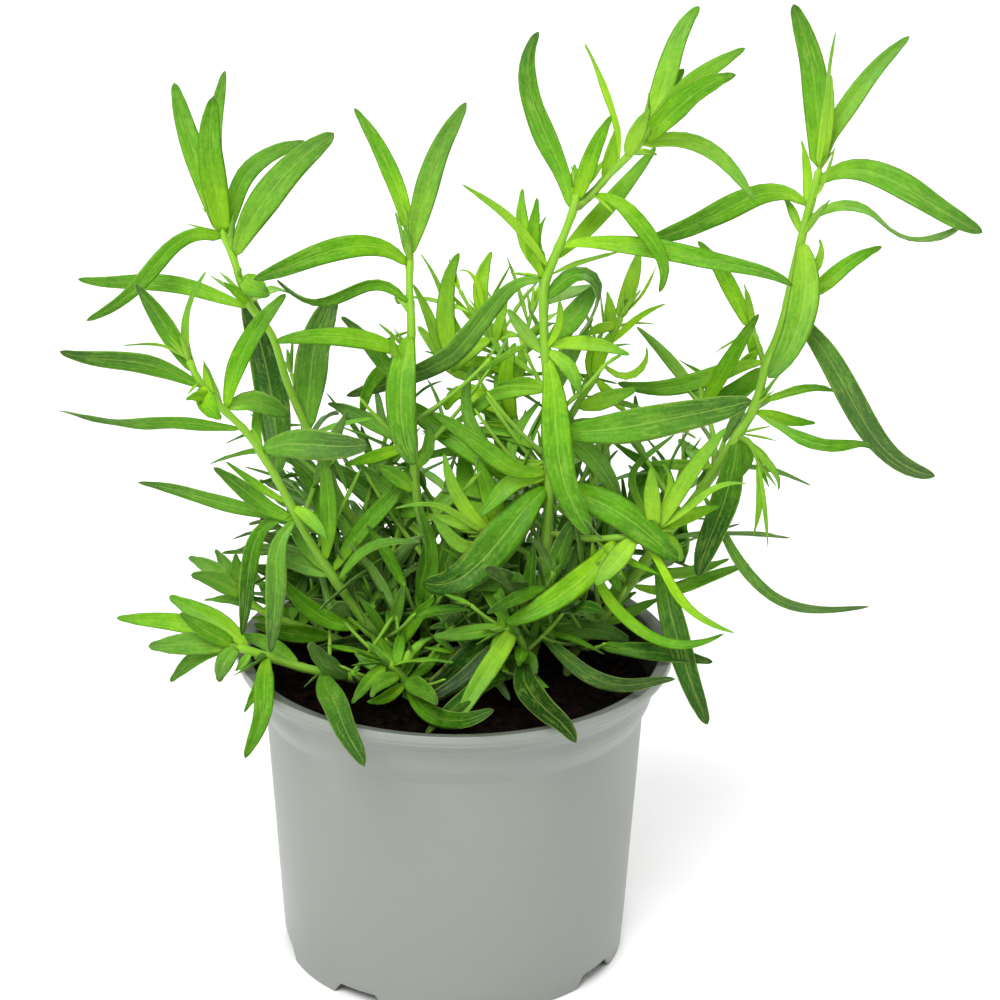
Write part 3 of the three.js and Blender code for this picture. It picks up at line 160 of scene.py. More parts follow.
def cell_of(point):
    return math.floor(point[0] / CELL), math.floor(point[1] / CELL), math.floor(point[2] / CELL)


def keep(spots, node):
    for point, room, _ in spots:
        cells.setdefault(cell_of(point), []).append((*point, room, node))


def in_pot_or_soil(x, y, z):
    radius = math.hypot(x, y)
    if z > RIM_Z + POT_ROOM:
        return False
    if radius < LIP_INNER_R - LIP_ROOM:
        return z < SOIL_Z + SOIL_ROOM
    beside_lip = z > SHOULDER_Z - SHOULDER_DEPTH or radius < SHOULDER_R + POT_ROOM
    return radius < LIP_R + POT_ROOM and beside_lip


def crossings(spots, node):
    """How many of the spots run into something foreign, and how many into their own node."""
    foreign = own = 0
    for (x, y, z), room, near_root in spots:
        hit, touch = in_pot_or_soil(x, y, z), False
        i, j, k = cell_of((x, y, z))
        for a, b, c in NEAR:
            for ox, oy, oz, other_room, other in cells.get((i + a, j + b, k + c), ()):
                if (x - ox) ** 2 + (y - oy) ** 2 + (z - oz) ** 2 > (room + other_room) ** 2:
                    continue
                if other != node:
                    hit = True
                elif not near_root:
                    touch = True
        foreign += hit
        own += touch
    return foreign, own


def solid_share(share):
    """The width of a packed blade at a share of its length, from its base past its widest place."""
    tip = np.clip((share - SOLID_WIDEST) / SOLID_TAPER, 0, 1)
    rise = SOLID_BASE + SOLID_RISE * np.sin(np.minimum(share / SOLID_WIDEST, 1) * math.pi / 2)
    return np.where(share < SOLID_WIDEST, rise, (1 - tip ** 2.4) ** 0.9)


def root_of(blade):
    return along(blade["line"], 0.0)


def blade_spots(blade):
    """Spots all over a blade: (point, room, whether it is near the root, where leaves may touch)."""
    count = math.ceil(length_of(blade["line"]) / SPOTS_ALONG)
    share = np.arange(1, count + 1) / count
    middle, across, out = frames(blade["line"], share, blade["facing"], blade["turn"])
    near_root = np.linalg.norm(middle - root_of(blade), axis=1) < ROOT_REACH
    spots = []
    for i, half in enumerate(blade["width"] * solid_share(share) / 2):
        columns = max(math.ceil(half / SPOTS_ASIDE), 1)
        for j in range(-columns, columns + 1):
            aside = j / columns * half
            point = middle[i] + across[i] * aside + out[i] * (abs(aside) * 2 * KEEL)
            spots.append((tuple(point.tolist()), BLADE_ROOM, bool(near_root[i])))
    return spots


def stem_spots(sprig, line):
    count = math.ceil(length_of(line) / STEM_SPOTS_ALONG)
    share = np.arange(count + 1) / count
    radii = sprig["radii"][0] + (sprig["radii"][1] - sprig["radii"][0]) * share
    return [(tuple(point.tolist()), radius + STEM_ROOM, False)
            for point, radius in zip(along(line, share), radii)]


# %% [markdown]
# ## Growing the leaves
# A drawn leaf starts from the point of its stem that is nearest to its first mark, and leans to the front
# or the back so that the stem has leaves all round. The others are set by rule, a golden angle apart, as a
# real stem sets its leaves.

# %% Drawn leaves
FOOT_CLEAR = 3.0
MARGIN = 0.5
LEAN = 0.32
ROOT_STEPS = 120
FOREIGN_COST, BEND_COST = 1000, 0.25
BENDS = [(0, 1), (0, 0.7), (5, 1), (-5, 1), (5, 0.6), (-5, 0.6), (10, 1), (-10, 1), (10, 0.6), (-10, 0.6),
         (16, 0.8), (-16, 0.8), (24, 0.8), (-24, 0.8), (32, 0.8), (-32, 0.8), (42, 0.7), (-42, 0.7)]


def stem_line(sprig):
    points = [spot(*mark) for mark in sprig["stem"]]
    if "foot" in sprig:
        points.insert(0, np.array([*sprig["foot"], SOIL_Z + FOOT_CLEAR]))
    return line_through(points)


def root_on(line, right, up):
    """The point of the line that looks nearest to a place on the sheet."""
    points = along(line, np.arange(ROOT_STEPS + 1) / ROOT_STEPS)
    gaps = np.linalg.norm(points - spot(right, up, points[:, 1]), axis=1)
    return points[np.argmin(gaps)]


def lean_of(leaf, index):
    """How far back the tip lies: as given, but never less than a share of the leaf's reach."""
    back, marks = leaf[2], leaf[3:]
    reach = math.hypot(marks[-2] - marks[0], marks[-1] - marks[1])
    side = (back > 0) - (back < 0) or (1 if index % 2 else -1)
    return side * max(abs(back), LEAN * reach)


def leaf_line(root, leaf, back, bend):
    marks = np.array(leaf[3:], float).reshape(-1, 2)
    reach = np.cumsum(np.linalg.norm(np.diff(marks, axis=0), axis=1))
    depths = root[1] + back * (reach / reach[-1]) ** bend
    return line_through([root, *spot(marks[1:, 0], marks[1:, 1], depths)])


def drawn_blade(leaf, index, root, node):
    """A leaf of the layout, at the depth and with the bend that cost least in crossings."""
    lean, best = lean_of(leaf, index), None
    for extra, bend in BENDS:
        blade = dict(line=leaf_line(root, leaf, lean + extra, bend), width=leaf[0] + MARGIN,
                     turn=leaf[1], facing=towards_eye)
        spots = blade_spots(blade)
        foreign, own = crossings(spots, node)
        cost = foreign * FOREIGN_COST + own + abs(extra) * BEND_COST
        if best is None or cost < best[2]:
            best = blade, spots, cost
        if foreign + own == 0:
            break
    keep(best[1], node)
    return best[0]


# %% Leaves set by rule
GOLDEN = math.radians(137.508)
FILL_TOP, FILL_RISE = 63.0, 8
FILL_TRIES = 8
OWN_TOUCHES = 1
SWING, WANDER, ROLL_RANGE, SHADE_LEAN = 1.2, 0.5, 40, 0.5
# Each is (least, how much more): lift in degrees, and shares of the length, the reach and the width.
LIFTS, REACHES, DROOPS, BREADTHS = (12, 46), (0.75, 0.5), (0.1, 0.4), (0.8, 0.4)


def draw(number):
    """A small repeatable draw between 0 and 1 for the number given."""
    value = math.sin(number * 12.9898 + 4.1414) * 43758.5453
    return value - math.floor(value)


def drawn_from(least_and_more, number):
    return least_and_more[0] + least_and_more[1] * draw(number)


def out_of_stem(heading, lift):
    return np.array([math.cos(heading) * math.cos(lift), math.sin(heading) * math.cos(lift), math.sin(lift)])


def sheet_height(point):
    """How far up the sheet a point looks to lie."""
    ray = point - EYE
    normal = np.cross(SHEET_RIGHT, SHEET_UP)
    scale = np.dot(RIM_CENTRE - EYE, normal) / np.dot(ray, normal)
    return np.dot(EYE + ray * scale - RIM_CENTRE, SHEET_UP)


def rule_blades(sprig, line, seed):
    """The leaves that a stem's fill asks for. One that finds no room after a few tries is left out."""
    count, first, last, length, width, heading, spread = sprig["fill"]
    blades = []
    for i in range(count):
        for attempt in range(FILL_TRIES):
            number = seed * 1000 + i * 10 + attempt
            step = (i + 0.5 + WANDER * (draw(number + 0.1) - 0.5)) / count
            root = along(line, first + (last - first) * step)
            swing = (i * GOLDEN + draw(number + 0.2) * SWING) % (2 * math.pi)
            way = math.radians(heading) + math.radians(spread / 2) * (swing / math.pi - 1)
            lift = math.radians(drawn_from(LIFTS, number + 0.3))
            reach = length * drawn_from(REACHES, number + 0.4)
            droop = reach * drawn_from(DROOPS, number + 0.5)
            points = [root + out_of_stem(way, lift) * reach * s - np.array([0, 0, droop * s * s])
                      for s in (0, 0.33, 0.67, 1)]
            towards = out_of_stem(way + math.pi, math.pi / 2 - SHADE_LEAN)
            blade = dict(line=line_through(points), width=width * drawn_from(BREADTHS, number + 0.6),
                         turn=ROLL_RANGE * (draw(number + 0.7) - 0.5),
                         facing=lambda _, towards=towards: towards)
            top = max(sheet_height(point) for point in points[2:])
            if top > max(FILL_TOP, sheet_height(root) + FILL_RISE):
                continue
            spots = blade_spots(blade)
            foreign, own = crossings(spots, sprig["node"])
            if foreign > 0 or own > OWN_TOUCHES:
                continue
            keep(spots, sprig["node"])
            blades.append(blade)
            break
    return blades

# %% [markdown]
# ## The leafy stems' layout
# foot: where the stem leaves the peat. A side branch has none and starts on the row before it. stem: [right,
# up, back] along it. radii: at its two ends. leaves: [width, turn, back, right, up, right, up, ...] from the
# root to the tip, where turn rolls the blade from facing the viewer and back is how far the tip lies behind
# the root. fill: [count, from, to, length, width, heading, spread] leaves by rule. slim: leaves under 2 mm.

# %% Layout of the stems
SPRIGS = [
  dict(node="shoot_left_low", radii=[1.5, 0.9], foot=[-9, -3],
    stem=[[-18, -2, -4.5], [-21.4, 2.2, -5.5], [-25.9, 5.6, -6.5], [-30.5, 11.7, -8], [-36, 19.5, -10],
      [-44, 32, -13], [-49, 41.5, -15], [-55, 52.5, -17], [-62, 63, -19], [-70, 71, -21], [-76, 78, -23],
      [-80, 86, -24]],
    leaves=[
      [5, 10, 4, -78,80, -82,88, -88,97.5, -91.5,102.5, -95,107.3],
      [2.8, 50, 8, -76,78, -80,90, -80,98, -77.5,105.5, -74,111.5],
      [5, 10, -4, -75,77, -84,81, -92,83.9, -101,84.9, -110,85.5, -118,87.3],
      [3, 0, -14, -71,73, -76,74.3, -80.3,73],
      [5, 0, -14, -76,77, -74,71.5, -70,67],
      [4, [10, 75], 6, -63,63.5, -75,65.5, -85,66.7, -95,66, -106,67.2, -118,69.7],
      [6, 10, 16, -69,70, -62,73, -56,71.3, -50,68.5],
      [5, 10, 10, -68,69, -67.5,75, -65,83.5, -60,93, -55,99.5, -50.5,104.5],
      [9, 0, 34, -53,49.5, -53,57, -54,70, -57,86, -62.5,105.3],
      [2.6, 30, 2, -57,56, -59.5,64, -59,70, -58.5,75],
      [8, 0, -6, -58,57.5, -50,60, -40,59.3, -32,58.8, -26,59.6],
      [3.8, 15, 6, -47,37.5, -54,38.5, -65,41, -75,43.7, -85,46.7, -94.7,48.3],
      [4.5, 0, -6, -47,37, -55,39.5, -61,44.5, -66,48.5, -72,52.8],
      [2.4, 30, 4, -49,41.5, -55,45, -60,48.5, -68.3,54.5],
      [3.6, 0, -8, -49,41, -44,38.5, -38,31.5],
      [4.6, 10, -4, -38.5,24, -37.5,35, -37.8,45, -39,57],
      [3.5, 15, 3, -39.5,26, -39,36, -41,46, -49.8,56],
      [4.8, 10, 4, -36,21, -30,31.5, -22,40.5, -16,47, -11,57],
      [2.8, 25, -8, -35,19, -29,26.5, -22,30.5, -10,30.5],
      [4.4, 0, -10, -49,39, -57.5,35.5, -61,26, -62.3,14, -63.5,2.5],
      [5.4, 0, -12, -47.5,37, -53,31, -53.2,20, -54,8, -55,-2.5],
      [4.8, 0, -8, -26,5.5, -35,5.7, -42,9.5, -47,13.5, -51.5,19.5],
      [4.8, 0, -12, -25,5, -21,-3, -16,-6.5, -10,-8.8, -6,-9.3],
      [3.2, 0, -5, -19.5,0.5, -17.5,9, -16.3,14, -14.7,19.2],
      [2.6, 20, -4, -19.5,1, -23,7.5, -29.5,15],
      [4, 10, -6, -18,-2, -12,7, -6,14],
      [4.4, 0, 4, -36.5,20.5, -43,22.8, -51,25.6, -54.5,27.5],
      [4.5, 10, 10, -37,21, -42,27, -46,31.5, -49.5,35.5],
    ],
    fill=[8, 0.15, 0.9, 30, 4.4, 60, 90],
    slim=[
      [1.2, 60, -6, -80,85, -87.5,90, -92,89.7, -99,89.2],
      [1.6, 20, 2, -72,73, -74,79, -75,83.5],
    ]),

  dict(node="shoot_left_tall", radii=[1.5, 1], foot=[-14, 13],
    stem=[[-18, 5, 12], [-22, 17, 11], [-25, 28, 10], [-32, 39.5, 9], [-38, 51, 8], [-44, 64, 8],
      [-50, 78, 8], [-54.5, 92, 9], [-61, 101, 11], [-64.5, 110, 14], [-66.3, 116, 16], [-69, 122, 18],
      [-69.5, 126, 19]],
    leaves=[
      [6, 0, 2, -69,122, -74.8,138.9, -79.5,151.3, -82.4,161.7, -83.8,167.6],
      [6.8, 0, -6, -69.3,122, -71.5,136, -73.3,149.3, -72.1,163.6],
      [5, 30, 8, -69,121, -71,138, -71.5,153, -70,163.6, -68.6,171.2],
      [5, 10, 6, -68.5,121, -64,138, -60,143, -55,146.5, -50,148.5, -44.3,150],
      [8, 0, -4, -66.3,115, -61,126, -55,135, -47,144, -36,152.5],
      [4.3, 15, -8, -68.5,121, -76,123.3, -84,119.5, -92,110, -100,102, -110,96.5],
      [4.5, 10, 6, -60.5,100, -70,103.5, -80,107, -92,108.3, -105,108, -112.5,109],
      [6, 0, -18, -64,109, -60,106.8, -55.3,104],
      [2.2, 0, -4, -61,101, -65,105, -69,108],
      [9, 0, 8, -43.5,63, -44,72, -43,80, -42,90, -36,104],
    ],
    fill=[9, 0.1, 0.85, 32, 4.6, 100, 90],
    slim=[
      [1.8, 30, 3, -69,122, -72,127, -73.7,130.7],
    ]),

  dict(node="shoot_middle_left", radii=[1.5, 1], foot=[-5, 8],
    stem=[[-8.5, -2, 7], [-8.5, 8, 5], [-7.5, 17, 4], [-7, 26, 3], [-9, 34, 2], [-11, 42, 1],
      [-12, 52, 0], [-12.5, 65, 1], [-13, 80, 2], [-13, 95, 4], [-13.5, 105, 6], [-13.5, 115, 9],
      [-13.5, 126, 12]],
    leaves=[
      [4.4, 0, 4, -13.5,122, -16,133, -18.8,140, -23.4,150, -30,160],
      [6, 0, -3, -13.5,115, -12,122, -9.5,132, -7.3,140, -3.5,150, 3.5,161.7],
      [6, 0, -4, -13.5,112.5, -19,117.7, -28,119.3, -35,118, -42,116, -50,112.5, -60,108.8],
      [4, [10, 70], -8, -13.2,100.5, -17,105.5, -23,108.7, -30,106.3, -38,102.4, -45,102.5, -53,108.7],
      [5, 0, -3, -13,86, -20,89, -30,91.5, -40,92, -50,91.2, -53.5,90],
      [4, 0, 4, -13,75, -20,82, -25,89, -31,95.5, -34,97.7],
      [2.4, 20, -5, -13,80, -17.5,85, -19,93.5],
      [8, 0, -12, -13.2,93, -15.5,84, -16.3,72, -15,60, -12,53.5],
      [3.6, 10, 6, -13,87, -20,83.5, -26,77, -28,67],
      [3.4, 10, 6, -12.4,60, -19,57.5, -26,55.5, -33,53.5],
      [4.6, 10, 8, -11.5,46, -17,50, -23,53.4],
      [4.4, 0, 10, -11,41, -19,45.5, -25,50, -30,54.6],
      [6.5, 10, 12, -10.5,38, -18,41, -25,45, -31,49.5, -38,54],
      [4, 0, -6, -8.5,4, -9,14, -6.5,24, -8,34, -11,41],
      [3.4, 10, -5, -12,52, -7.5,58, -8,66],
    ],
    fill=[10, 0.1, 0.85, 30, 4.6, 90, 100]),

  dict(node="shoot_centre", radii=[1.9, 1.1], foot=[22, -2],
    stem=[[24.5, 5, -2], [26, 17, -2], [27, 26, -2.5], [28, 40, -3], [28.3, 55, -4], [28.2, 70, -5],
      [27.5, 80, -6], [26.7, 92, -7], [26.5, 101, -8], [27, 108, -9], [29.5, 115, -11], [32.5, 122, -13],
      [35.5, 130, -15], [36.8, 136, -16]],
    leaves=[
      [8, 0, -10, 27.3,87, 29.3,78, 30,66, 31,55, 33,46, 36.5,39, 40.5,32.5],
      [10.5, 0, -16, 28,47, 22.5,42.5, 17,35.5, 11,28, 4.5,21.5, -2,17.5, -9.5,18.3],
      [5.6, 10, 8, 27,108, 21,109.3, 15,105, 10,99.5, 0,87, -6,83.3, -12,80.5, -20,78, -32.5,74],
      [9, 0, -8, 28.3,62.5, 36,63.5, 46,64, 57,65.8, 68,68, 78,70, 88.6,72.6],
      [8.5, 0, -14, 28,46, 36,45.5, 43,42.5, 50,38.8, 57,33.5, 62.5,28.5, 66.6,25.2],
      [5, 10, -8, 31,118, 36,120, 46,119.6, 56,118.4, 66,116.8, 76,114.4, 86,112.5, 95,110.3, 101,106.8],
      [6, 20, 8, 35.5,129, 33.5,138, 30.5,145, 26.8,153, 23.6,161, 21.8,169, 21.9,176, 25,182.8],
      [4.2, 10, -4, 36.5,132, 38.8,139, 42,148.5, 46.8,157.8],
      [2.4, 0, 3, 36.5,133, 36,138, 35.7,143.3],
      [3.6, 0, 2, 26.8,109.5, 22,116, 20.5,122, 19.6,128, 20.2,136],
      [3.4, 0, -2, 27,109, 22.8,117, 23.8,126, 24.6,133.3],
      [2.2, 0, -4, 28,112, 22,121, 15,128.5, 8,133.5, 2,137.3],
      [6, [0, 110], -6, 26.5,102, 31.5,107.5, 36,111.3, 41,111, 43.3,106, 42,99, 37,92],
      [4, 150, -3, 27,86.5, 22.5,91.5, 19,96, 15.8,100],
      [4.6, 15, 2, 29.5,113.5, 36,120.3, 41,125.5, 46,131, 51,137, 55.5,142.5, 60,148.3],
      [3.8, 0, -8, 27,89, 35,90.3, 42,89.8, 47,88.3, 52.2,86.3],
      [5.8, 0, -2, 27,89.5, 33.5,95, 38,101.5, 43,107.6],
      [2, 20, -4, 27,88, 31.3,94, 31.8,99, 31,104.5],
      [4, 0, -5, 27,88, 33.5,84, 36,79, 37.5,74.5],
      [5.4, 0, -4, 28.3,63, 37,60, 43,54, 47,47.5, 49.5,42.5],
      [4, 20, 3, 27.8,75.5, 20,76, 13,75.5, 8,72.5, 4,68, -1,66],
      [3.4, 0, 6, 27.8,77, 20,78, 13,77.3],
      [3, 0, -8, 25.4,8, 22.5,0, 18.5,-3.3, 14.3,-5],
      [3, 0, -6, 25.4,9, 28.2,3.5, 29.2,-2.7],
      [6, 10, 4, 24.5,1, 35,4.5, 43,4.5, 52,1],
      [4.2, 10, -16, 24.5,4, 33,-4, 39,-9, 46,-12, 53,-12.5, 60,-11, 65.8,-10.3],
      [5.5, 0, -4, 28,50, 18,50, 14.5,46.5, 11,42, 7.5,38.3],
      [7, 0, 4, 28,49, 18,50, 11,54.5, 4,59, -3,63.5, -9,67.5, -17,73.5],
      [5, 10, -4, 28,51, 18,51.5, 12,56, 6,60.5, 0,65, -6.5,69.3],
      [3, 20, 0, 28,52, 18,52, 8,56.3, 2,57.7, -4,58, -9,55.8, -13,53],
      [3.9, 10, 2, 28,53, 15,51, 9.5,58, 5.5,63.5, 3.2,70, 3.2,77, 5.5,83],
      [3.4, 20, 6, 28.2,55, 16.5,54, 17.3,60, 20,66, 25.5,72.5],
    ],
    fill=[10, 0.12, 0.85, 30, 4.8, 80, 110],
    slim=[
      [1.8, 20, -2, 27.5,111, 24.5,119, 25.2,124, 27.4,127.8],
      [1.8, 40, 6, 26.8,89.5, 25,90.8, 20,89.5, 14,85.5, 9,82, 3,80],
      [1.8, 50, 6, 28,110, 36,113.5, 42,115, 50.5,117.6],
      [1.8, 30, -4, 24.5,3, 31,3, 37,1, 44.7,-3.1],
    ]),
  dict(node="shoot_centre", radii=[1.2, 0.8],
    stem=[[35.2, 129, -14.8], [41, 134.5, -17], [45, 139, -19], [49, 143, -21], [53, 147, -23],
      [57, 151, -25]],
    leaves=[
      [5.6, 10, 2, 56,150, 60.5,161, 63,169, 65.5,178, 68.5,185, 73,190.3],
      [4.6, 0, 5, 56,150, 61,159, 65,167, 68.3,171.8],
      [4.6, 0, 0, 56.5,150.5, 64,160.5, 71,168, 79,173.5, 86.7,178],
      [6, 20, -6, 56.5,150.5, 64,157.5, 70,163, 76,167.3, 84,169.8],
      [4, 0, -3, 51,145, 54.5,153, 58,160],
      [2.6, 50, -6, 49,143, 49.5,152, 47.8,158, 45,166, 42,173.5, 38.8,179.2],
      [4, 0, -8, 55,149, 62,151, 69,150.8, 75,148.7, 80.5,144.5, 85.5,138.5, 89.3,132.5],
      [2, 40, 4, 52,146, 57,146.7, 60.5,146],
      [4.2, 0, -12, 40.5,134, 46,134, 50.5,131.3, 55,125.5, 59,120.5, 62.3,116, 63.3,111, 61,105],
      [3.4, 0, -4, 44,138, 47,146, 48.2,154],
    ]),
  dict(node="shoot_centre", radii=[1.1, 0.8],
    stem=[[28.3, 57, -4.1], [33, 65, 1], [36, 70.5, 4], [39.5, 76, 7], [42, 80, 8], [44, 85, 10],
      [46.5, 90.5, 11], [48.5, 95, 11], [50, 99, 11]],
    leaves=[
      [4, 10, 2, 49,96, 51,102.5, 53.5,110, 55.3,118.3],
      [2.6, 0, 2, 47,91, 46.8,98, 45.5,105.3],
      [3.6, 0, -3, 42.3,79.5, 43,86, 46.5,93],
      [2.4, 0, -3, 48,95, 43.5,94.6, 38.8,91.8],
      [2.4, 30, -6, 44,84, 46.5,80.5, 50,78.7, 54,79.8, 57.3,83, 57.8,86.5, 57,88.8],
      [2.8, 10, 3, 42,79, 46,75, 51.5,68.6],
      [5, 20, 6, 36,70.5, 42,71.5, 48,73.5, 54,76],
      [3, 0, 3, 41,78, 40.5,86, 44,93],
    ],
    slim=[
      [1.9, 30, -4, 46.5,88.5, 51,94, 56,98.6, 63,101.6],
      [1, 50, -3, 49.5,98, 54.5,102, 58,107.5, 60.4,113.5],
    ]),
  dict(node="shoot_centre", radii=[1.1, 0.8],
    stem=[[28.1, 49, -3.6], [22.5, 57, 3], [18.5, 64.5, 8], [17, 73, 11], [16, 81, 14], [13.5, 87, 15],
      [11, 92, 16], [8.7, 97, 16]],
    leaves=[
      [4, 0, 2, 9.5,95, 7.3,104, 8,110.5, 11,117.2],
      [4, 0, -2, 11.5,91, 6.5,89.5, 2,85, -1,81],
      [2.8, 10, 0, 16,81, 12,83, 9.7,86.7],
      [3.2, 0, 0, 17,75, 20,84, 20.5,90],
      [2.6, 10, 0, 12.5,89.5, 13,95.5, 15.6,100.6],
      [2.2, 20, -2, 12,91, 15.5,92.5, 19.5,91.8],
      [4.6, 0, -2, 18.5,66, 15.5,74, 15,82, 18,90],
      [5.2, 0, 2, 14.5,85, 3,84, -2.4,90, -2.7,103, -1.5,111, 1.3,116.8],
      [3.5, 0, 4, 15,84, 4,82, -4.5,89, -7.5,98, -12.5,107.5],
      [4.6, 10, 6, 15,83, 2,81, -5,88, -11,95],
      [4, 10, 8, 20,62, 15,67.5, 10,70.5],
      [5.5, 10, 4, 18,67, 8,74, 1,77, -3,70],
    ],
    slim=[
      [1.4, 20, 2, 9,96, 7,108, 4.2,112.2, 1.2,111.3],
      [1.6, 20, 2, 14.5,86, 2,92, -4.5,107, -7,112, -10.4,116.8],
      [1.8, 30, 4, 12,91, 6,97, 2,101, -1.5,105],
      [1.8, 30, 2, 19,64, 13,66, 7,66],
    ]),
  dict(node="shoot_centre", radii=[1, 0.7],
    stem=[[27.6, 33, -2.7], [33, 32.5, -7], [40, 31.5, -11], [48, 31.8, -13], [55, 32.6, -12],
      [60.5, 34.5, -11]],
    leaves=[
      [6.8, 0, -12, 48,31.8, 44,25.5, 38,19.5, 30,13.5, 22,9, 15.3,6],
      [4.3, 10, -6, 60,34.3, 65,42.5, 70,50.5, 75.5,58, 81,64.5],
      [4.4, 0, -3, 59.8,34, 58.8,42, 58.7,52.7],
      [2.5, 20, -12, 55,32.6, 59.5,27, 63,20.5, 66,14.5, 70,10, 76,6, 83.5,3.3],
      [3.2, 10, -12, 41,31.5, 42,20, 46,13, 51.5,7, 58,2.2, 65,-0.5, 73,0, 80.5,3.2],
      [5.5, 0, -4, 54,32.4, 50,27, 45,21.5, 42,17.5],
      [3.5, 0, 6, 60,34.3, 68,37.5, 74,40, 79,41],
      [2, 10, 4, 60,34.2, 64,44, 65,50, 62,53.8],
      [5, 0, 6, 58,33.8, 63,31, 68,25],
    ],
    slim=[
      [1.9, 20, -8, 60,34, 67,38.5, 73,43.5, 78,47.3, 82,48.4, 87.5,47.7],
      [1.8, 30, -5, 47,31.7, 50,25.5, 55,23.5, 62,20.3],
    ]),
  dict(node="shoot_centre", radii=[0.9, 0.7],
    stem=[[26.7, 24, -2.4], [20, 28, -6], [14, 31.5, -8], [10, 33.2, -8]],
    leaves=[
      [3.6, 0, -4, 11,33, 5.5,37.5, 2,42, -1.5,49, -3.3,57],
      [3.2, 10, 3, 12,32.3, 4,35.5, -2,37, -7.3,39],
      [4.2, 10, 0, 15,31, 3,28, -2,33, -7,38.6],
      [6.5, 0, 10, 14,31.5, 8,36, 4.5,44, 3,51, 2.5,58],
      [5.5, 0, 12, 15,31, 12,40, 9.5,48, 7,55],
    ],
    slim=[
      [1.9, 30, -4, 11,33, 5,35.5, 0,39.5, -5,42, -11,42.2, -18,40.5],
    ]),

  dict(node="shoot_right_tall", radii=[1.7, 1.1], foot=[34, 4],
    stem=[[38.5, 2, 3], [43, 7, 3], [49, 14, 3], [56, 23, 3], [61, 30, 4], [67, 37.5, 5], [73, 45, 6],
      [79, 54, 7], [83.5, 61, 8], [88, 68, 9], [90.5, 74, 10], [93, 84, 11], [96, 91, 12], [98.3, 98, 14],
      [100, 105, 16], [101.5, 113, 18], [103.5, 121, 20], [105.5, 129, 22], [107.5, 136, 23],
      [109, 143, 24]],
    leaves=[
      [7, 0, 3, 108.7,141, 108.5,154, 107.7,165, 106.8,173, 104.6,181, 101,191],
      [5, 0, 0, 108.9,142, 110.5,150, 113.5,155, 118,161.5, 122.5,168, 128,174.5, 135.7,181.5],
      [3.6, 0, 4, 108.8,141.5, 110.6,152, 111.6,162, 112.2,170],
      [2.5, 20, 3, 105.3,128, 105.6,137, 105,145, 103.4,150.5],
      [7, 10, -8, 108,138, 113,141, 120,142, 127,140, 135,136, 142,131.3, 150,126.3, 157.5,122.8],
      [4.4, [0, 160], -6, 105,126.5, 110,129.5, 115,131.3, 120,130.6, 125,128, 128,125, 131,122,
        135,120.2, 140,119.8, 145,121, 151,124.6],
      [6.4, 10, 8, 106,131, 102,134.3, 97,135.5, 91,134.7, 84,131.5, 77,128, 70,124.5, 64,122.3, 57.5,120.8],
      [2.3, 20, 4, 103.8,122, 102,127, 99.5,132, 98,133.6],
      [2.3, 10, -4, 101,109.5, 107,110, 109,115, 110,118.5, 108.6,121],
      [4.3, 10, 0, 100,104.5, 106,103.5, 110,107, 115,111.7, 120,115.5, 127.5,118.6],
      [8.2, 0, -12, 103.5,120.5, 105,112, 104.5,105, 103.5,98, 101,91, 97.5,84.5, 93.5,79.5],
      [7, 10, -6, 99.5,102, 106,93, 110,88, 114,81, 118,73.5, 123,64.5, 127.5,58.5, 132.5,53.8, 138,51.3,
        143.4,50.2],
      [2.5, 30, 4, 89.5,71.5, 95,73.3, 100,75.2, 105,76.7, 110,76.7, 115,74.8],
      [3.1, 10, 2, 88.8,70, 93,69, 98,66.8, 103,66.2, 107.7,66],
      [4.2, [70, 0], -8, 88.6,69.5, 94,66.5, 99,63.7, 104,60.5, 110,59, 116,58.8, 121,60.5, 124.5,58.3],
      [7.6, 10, -8, 84,62, 83.2,54, 81.5,46, 78,36, 74.5,28, 72.5,20.3],
      [3, 20, -8, 73,45, 78,38, 81,31, 85,24, 90,18, 96,13, 103,10.6, 112,10, 123.7,11.2],
      [5, 10, 4, 93,84, 86,83.5, 78,80.5, 70,77.8, 62,76.3, 55,76.5, 48.5,78],
      [6, 20, 8, 93,83.5, 89,79.5, 84,75.5, 77,72, 70,70],
      [6.8, 0, -26, 58.5,26.5, 61.5,24, 63,15, 65.5,5, 68,-4, 70.5,-12, 73.3,-19, 75.4,-24],
      [3.4, 0, 8, 52,18, 61,15.5, 68,17, 77,20.5, 88,24],
      [3, 0, 12, 55,22, 66,20.8, 74,22.5, 82,25.5],
      [2.4, 0, 4, 44,8, 50,13.5, 54.3,15.6],
      [3, 0, 6, 42,6, 47,6.5, 53,10, 61.5,13.8],
      [3.4, 0, 4, 45,10, 50,19.5, 56,23],
      [3, 20, 6, 78,52.5, 71,53.6, 64,53.8, 57,54],
      [2.4, 30, 8, 61,30, 52,50, 58,56.5, 65.5,62.5],
      [3, 0, 8, 67,37.5, 60,52, 54,55.5, 47,60.5],
      [4.6, 20, -4, 84,62, 87.5,57, 86,53.5, 84.6,49],
      [7, 0, 8, 69,40, 66,36, 66.5,30, 67,24],
      [6, 0, 10, 62,31, 55,38, 54,46, 57,52],
    ],
    fill=[9, 0.15, 0.7, 30, 4.6, 90, 100],
    slim=[
      [1.8, 50, 6, 108.9,142, 111.3,158, 111.5,168, 112.3,175, 113.8,183.2],
      [1.3, 50, -3, 106.5,132, 109,135, 111.8,141.5, 113.4,148.2],
    ]),
  dict(node="shoot_right_tall", radii=[0.9, 0.6],
    stem=[[84, 62, 8.1], [87.5, 60.5, 5], [89.5, 57.5, 4], [90.5, 54.5, 4]],
    leaves=[
      [2, 20, -4, 88,60, 91,56.5, 94.5,52.8, 97,49.5, 96.5,46],
    ],
    slim=[
      [1.3, 30, -3, 87.5,60.5, 91,57.5, 95,53.7],
      [1.7, 20, -2, 90.3,55, 91,45, 90.5,38, 89,32.3],
